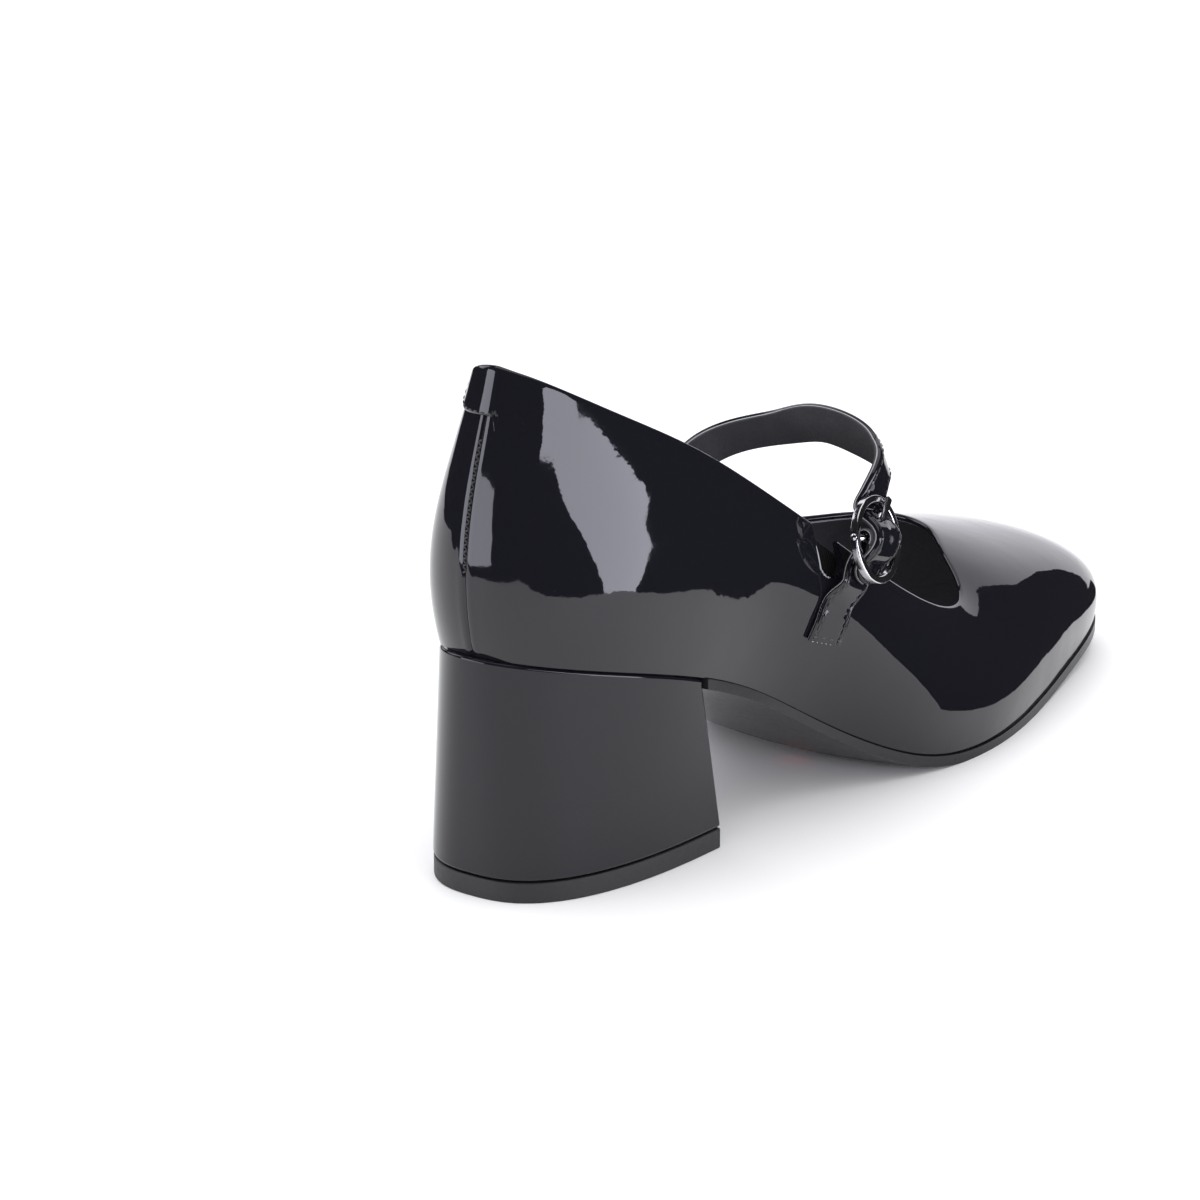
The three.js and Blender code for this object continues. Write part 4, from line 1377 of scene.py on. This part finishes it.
# ------------------------------------------------------------------ settings and operators
class ShoeSettings(bpy.types.PropertyGroup):
    """Sizes and colours that a user would change."""

    patent: bpy.props.FloatVectorProperty(
        name="Patent", description="Colour of the patent film", subtype="COLOR",
        default=(0.006, 0.006, 0.0085), min=0, max=1)
    lining: bpy.props.FloatVectorProperty(
        name="Lining", description="Colour of the matte lining", subtype="COLOR",
        default=(0.075, 0.075, 0.082), min=0, max=1)
    metal: bpy.props.FloatVectorProperty(
        name="Metal", description="Colour of the buckle's metal", subtype="COLOR",
        default=(0.6, 0.6, 0.62), min=0, max=1)
    floor: bpy.props.FloatVectorProperty(
        name="Floor", description="Colour of the floor", subtype="COLOR",
        default=(0.9, 0.9, 0.9), min=0, max=1)
    wave_depth: bpy.props.FloatProperty(
        name="Wave depth", description="Depth of the slow waves in the patent, in millimetres",
        default=0.8, min=0, max=3)
    stitch_inset: bpy.props.FloatProperty(
        name="Stitch inset", description="Distance of the stitches from a strap's edge, in mm",
        default=1.1, min=0.3, max=3)


def current_settings(context):
    return context.scene.shoe_finish


class SHOE_OT_materials(bpy.types.Operator):
    """Make the shoe's finishes"""
    bl_idname = "shoe.materials"
    bl_label = "Finishes"

    def execute(self, context):
        prepare_materials(current_settings(context))
        return {"FINISHED"}


class SHOE_OT_upper(bpy.types.Operator):
    """Build the patent upper with its lining, notch and back tab"""
    bl_idname = "shoe.upper"
    bl_label = "Upper"

    def execute(self, context):
        build_upper()
        build_notch_highlight_bead()
        build_back_tab()
        return {"FINISHED"}


class SHOE_OT_bottom(bpy.types.Operator):
    """Build the sole, the insole, the covered heel and its lift"""
    bl_idname = "shoe.bottom"
    bl_label = "Sole and heel"

    def execute(self, context):
        build_soles()
        build_heel()
        return {"FINISHED"}


class SHOE_OT_straps(bpy.types.Operator):
    """Build the instep strap, the buckle strap and the elastic"""
    bl_idname = "shoe.straps"
    bl_label = "Straps"

    def execute(self, context):
        settings = current_settings(context)
        build_instep_strap(settings)
        build_buckle_strap(settings)
        build_gore()
        return {"FINISHED"}


class SHOE_OT_buckle(bpy.types.Operator):
    """Build the oval buckle with its bar and prong"""
    bl_idname = "shoe.buckle"
    bl_label = "Buckle"

    def execute(self, context):
        build_buckle_frame()
        build_prong()
        return {"FINISHED"}


class SHOE_OT_stitching(bpy.types.Operator):
    """Lay the stitches on straps, back seam and tab"""
    bl_idname = "shoe.stitching"
    bl_label = "Stitching"

    def execute(self, context):
        build_strap_stitches(current_settings(context))
        build_back_stitches()
        return {"FINISHED"}


class SHOE_OT_stage(bpy.types.Operator):
    """Set up floor, soft lights and camera"""
    bl_idname = "shoe.stage"
    bl_label = "Stage"

    def execute(self, context):
        build_floor(current_settings(context))
        build_world()
        for row in PANELS:
            light_panel(*row)
        overhead_light(1.35)
        build_camera()
        context.scene.view_settings.view_transform = "Standard"
        return {"FINISHED"}


OPERATORS = (SHOE_OT_materials, SHOE_OT_upper, SHOE_OT_bottom, SHOE_OT_straps,
             SHOE_OT_buckle, SHOE_OT_stitching, SHOE_OT_stage)


class SHOE_PT_finish(bpy.types.Panel):
    """Lists the steps and settings of the shoe's finish"""
    bl_label = "Shoe finish"
    bl_idname = "SHOE_PT_finish"
    bl_space_type = "VIEW_3D"
    bl_region_type = "UI"
    bl_category = "Shoe"

    def draw(self, context):
        settings = current_settings(context)
        for name in ("patent", "lining", "metal", "floor", "wave_depth", "stitch_inset"):
            self.layout.prop(settings, name)
        for operator in OPERATORS:
            self.layout.operator(operator.bl_idname)


CLASSES = (ShoeSettings, *OPERATORS, SHOE_PT_finish)


def register():
    for item in CLASSES:
        bpy.utils.register_class(item)
    bpy.types.Scene.shoe_finish = bpy.props.PointerProperty(type=ShoeSettings)


def unregister():
    del bpy.types.Scene.shoe_finish
    for item in reversed(CLASSES):
        bpy.utils.unregister_class(item)


def main():
    register()
    bpy.ops.shoe.materials()
    bpy.ops.shoe.upper()
    bpy.ops.shoe.bottom()
    bpy.ops.shoe.straps()
    bpy.ops.shoe.buckle()
    bpy.ops.shoe.stitching()
    bpy.ops.shoe.stage()


if __name__ == "__main__":
    main()
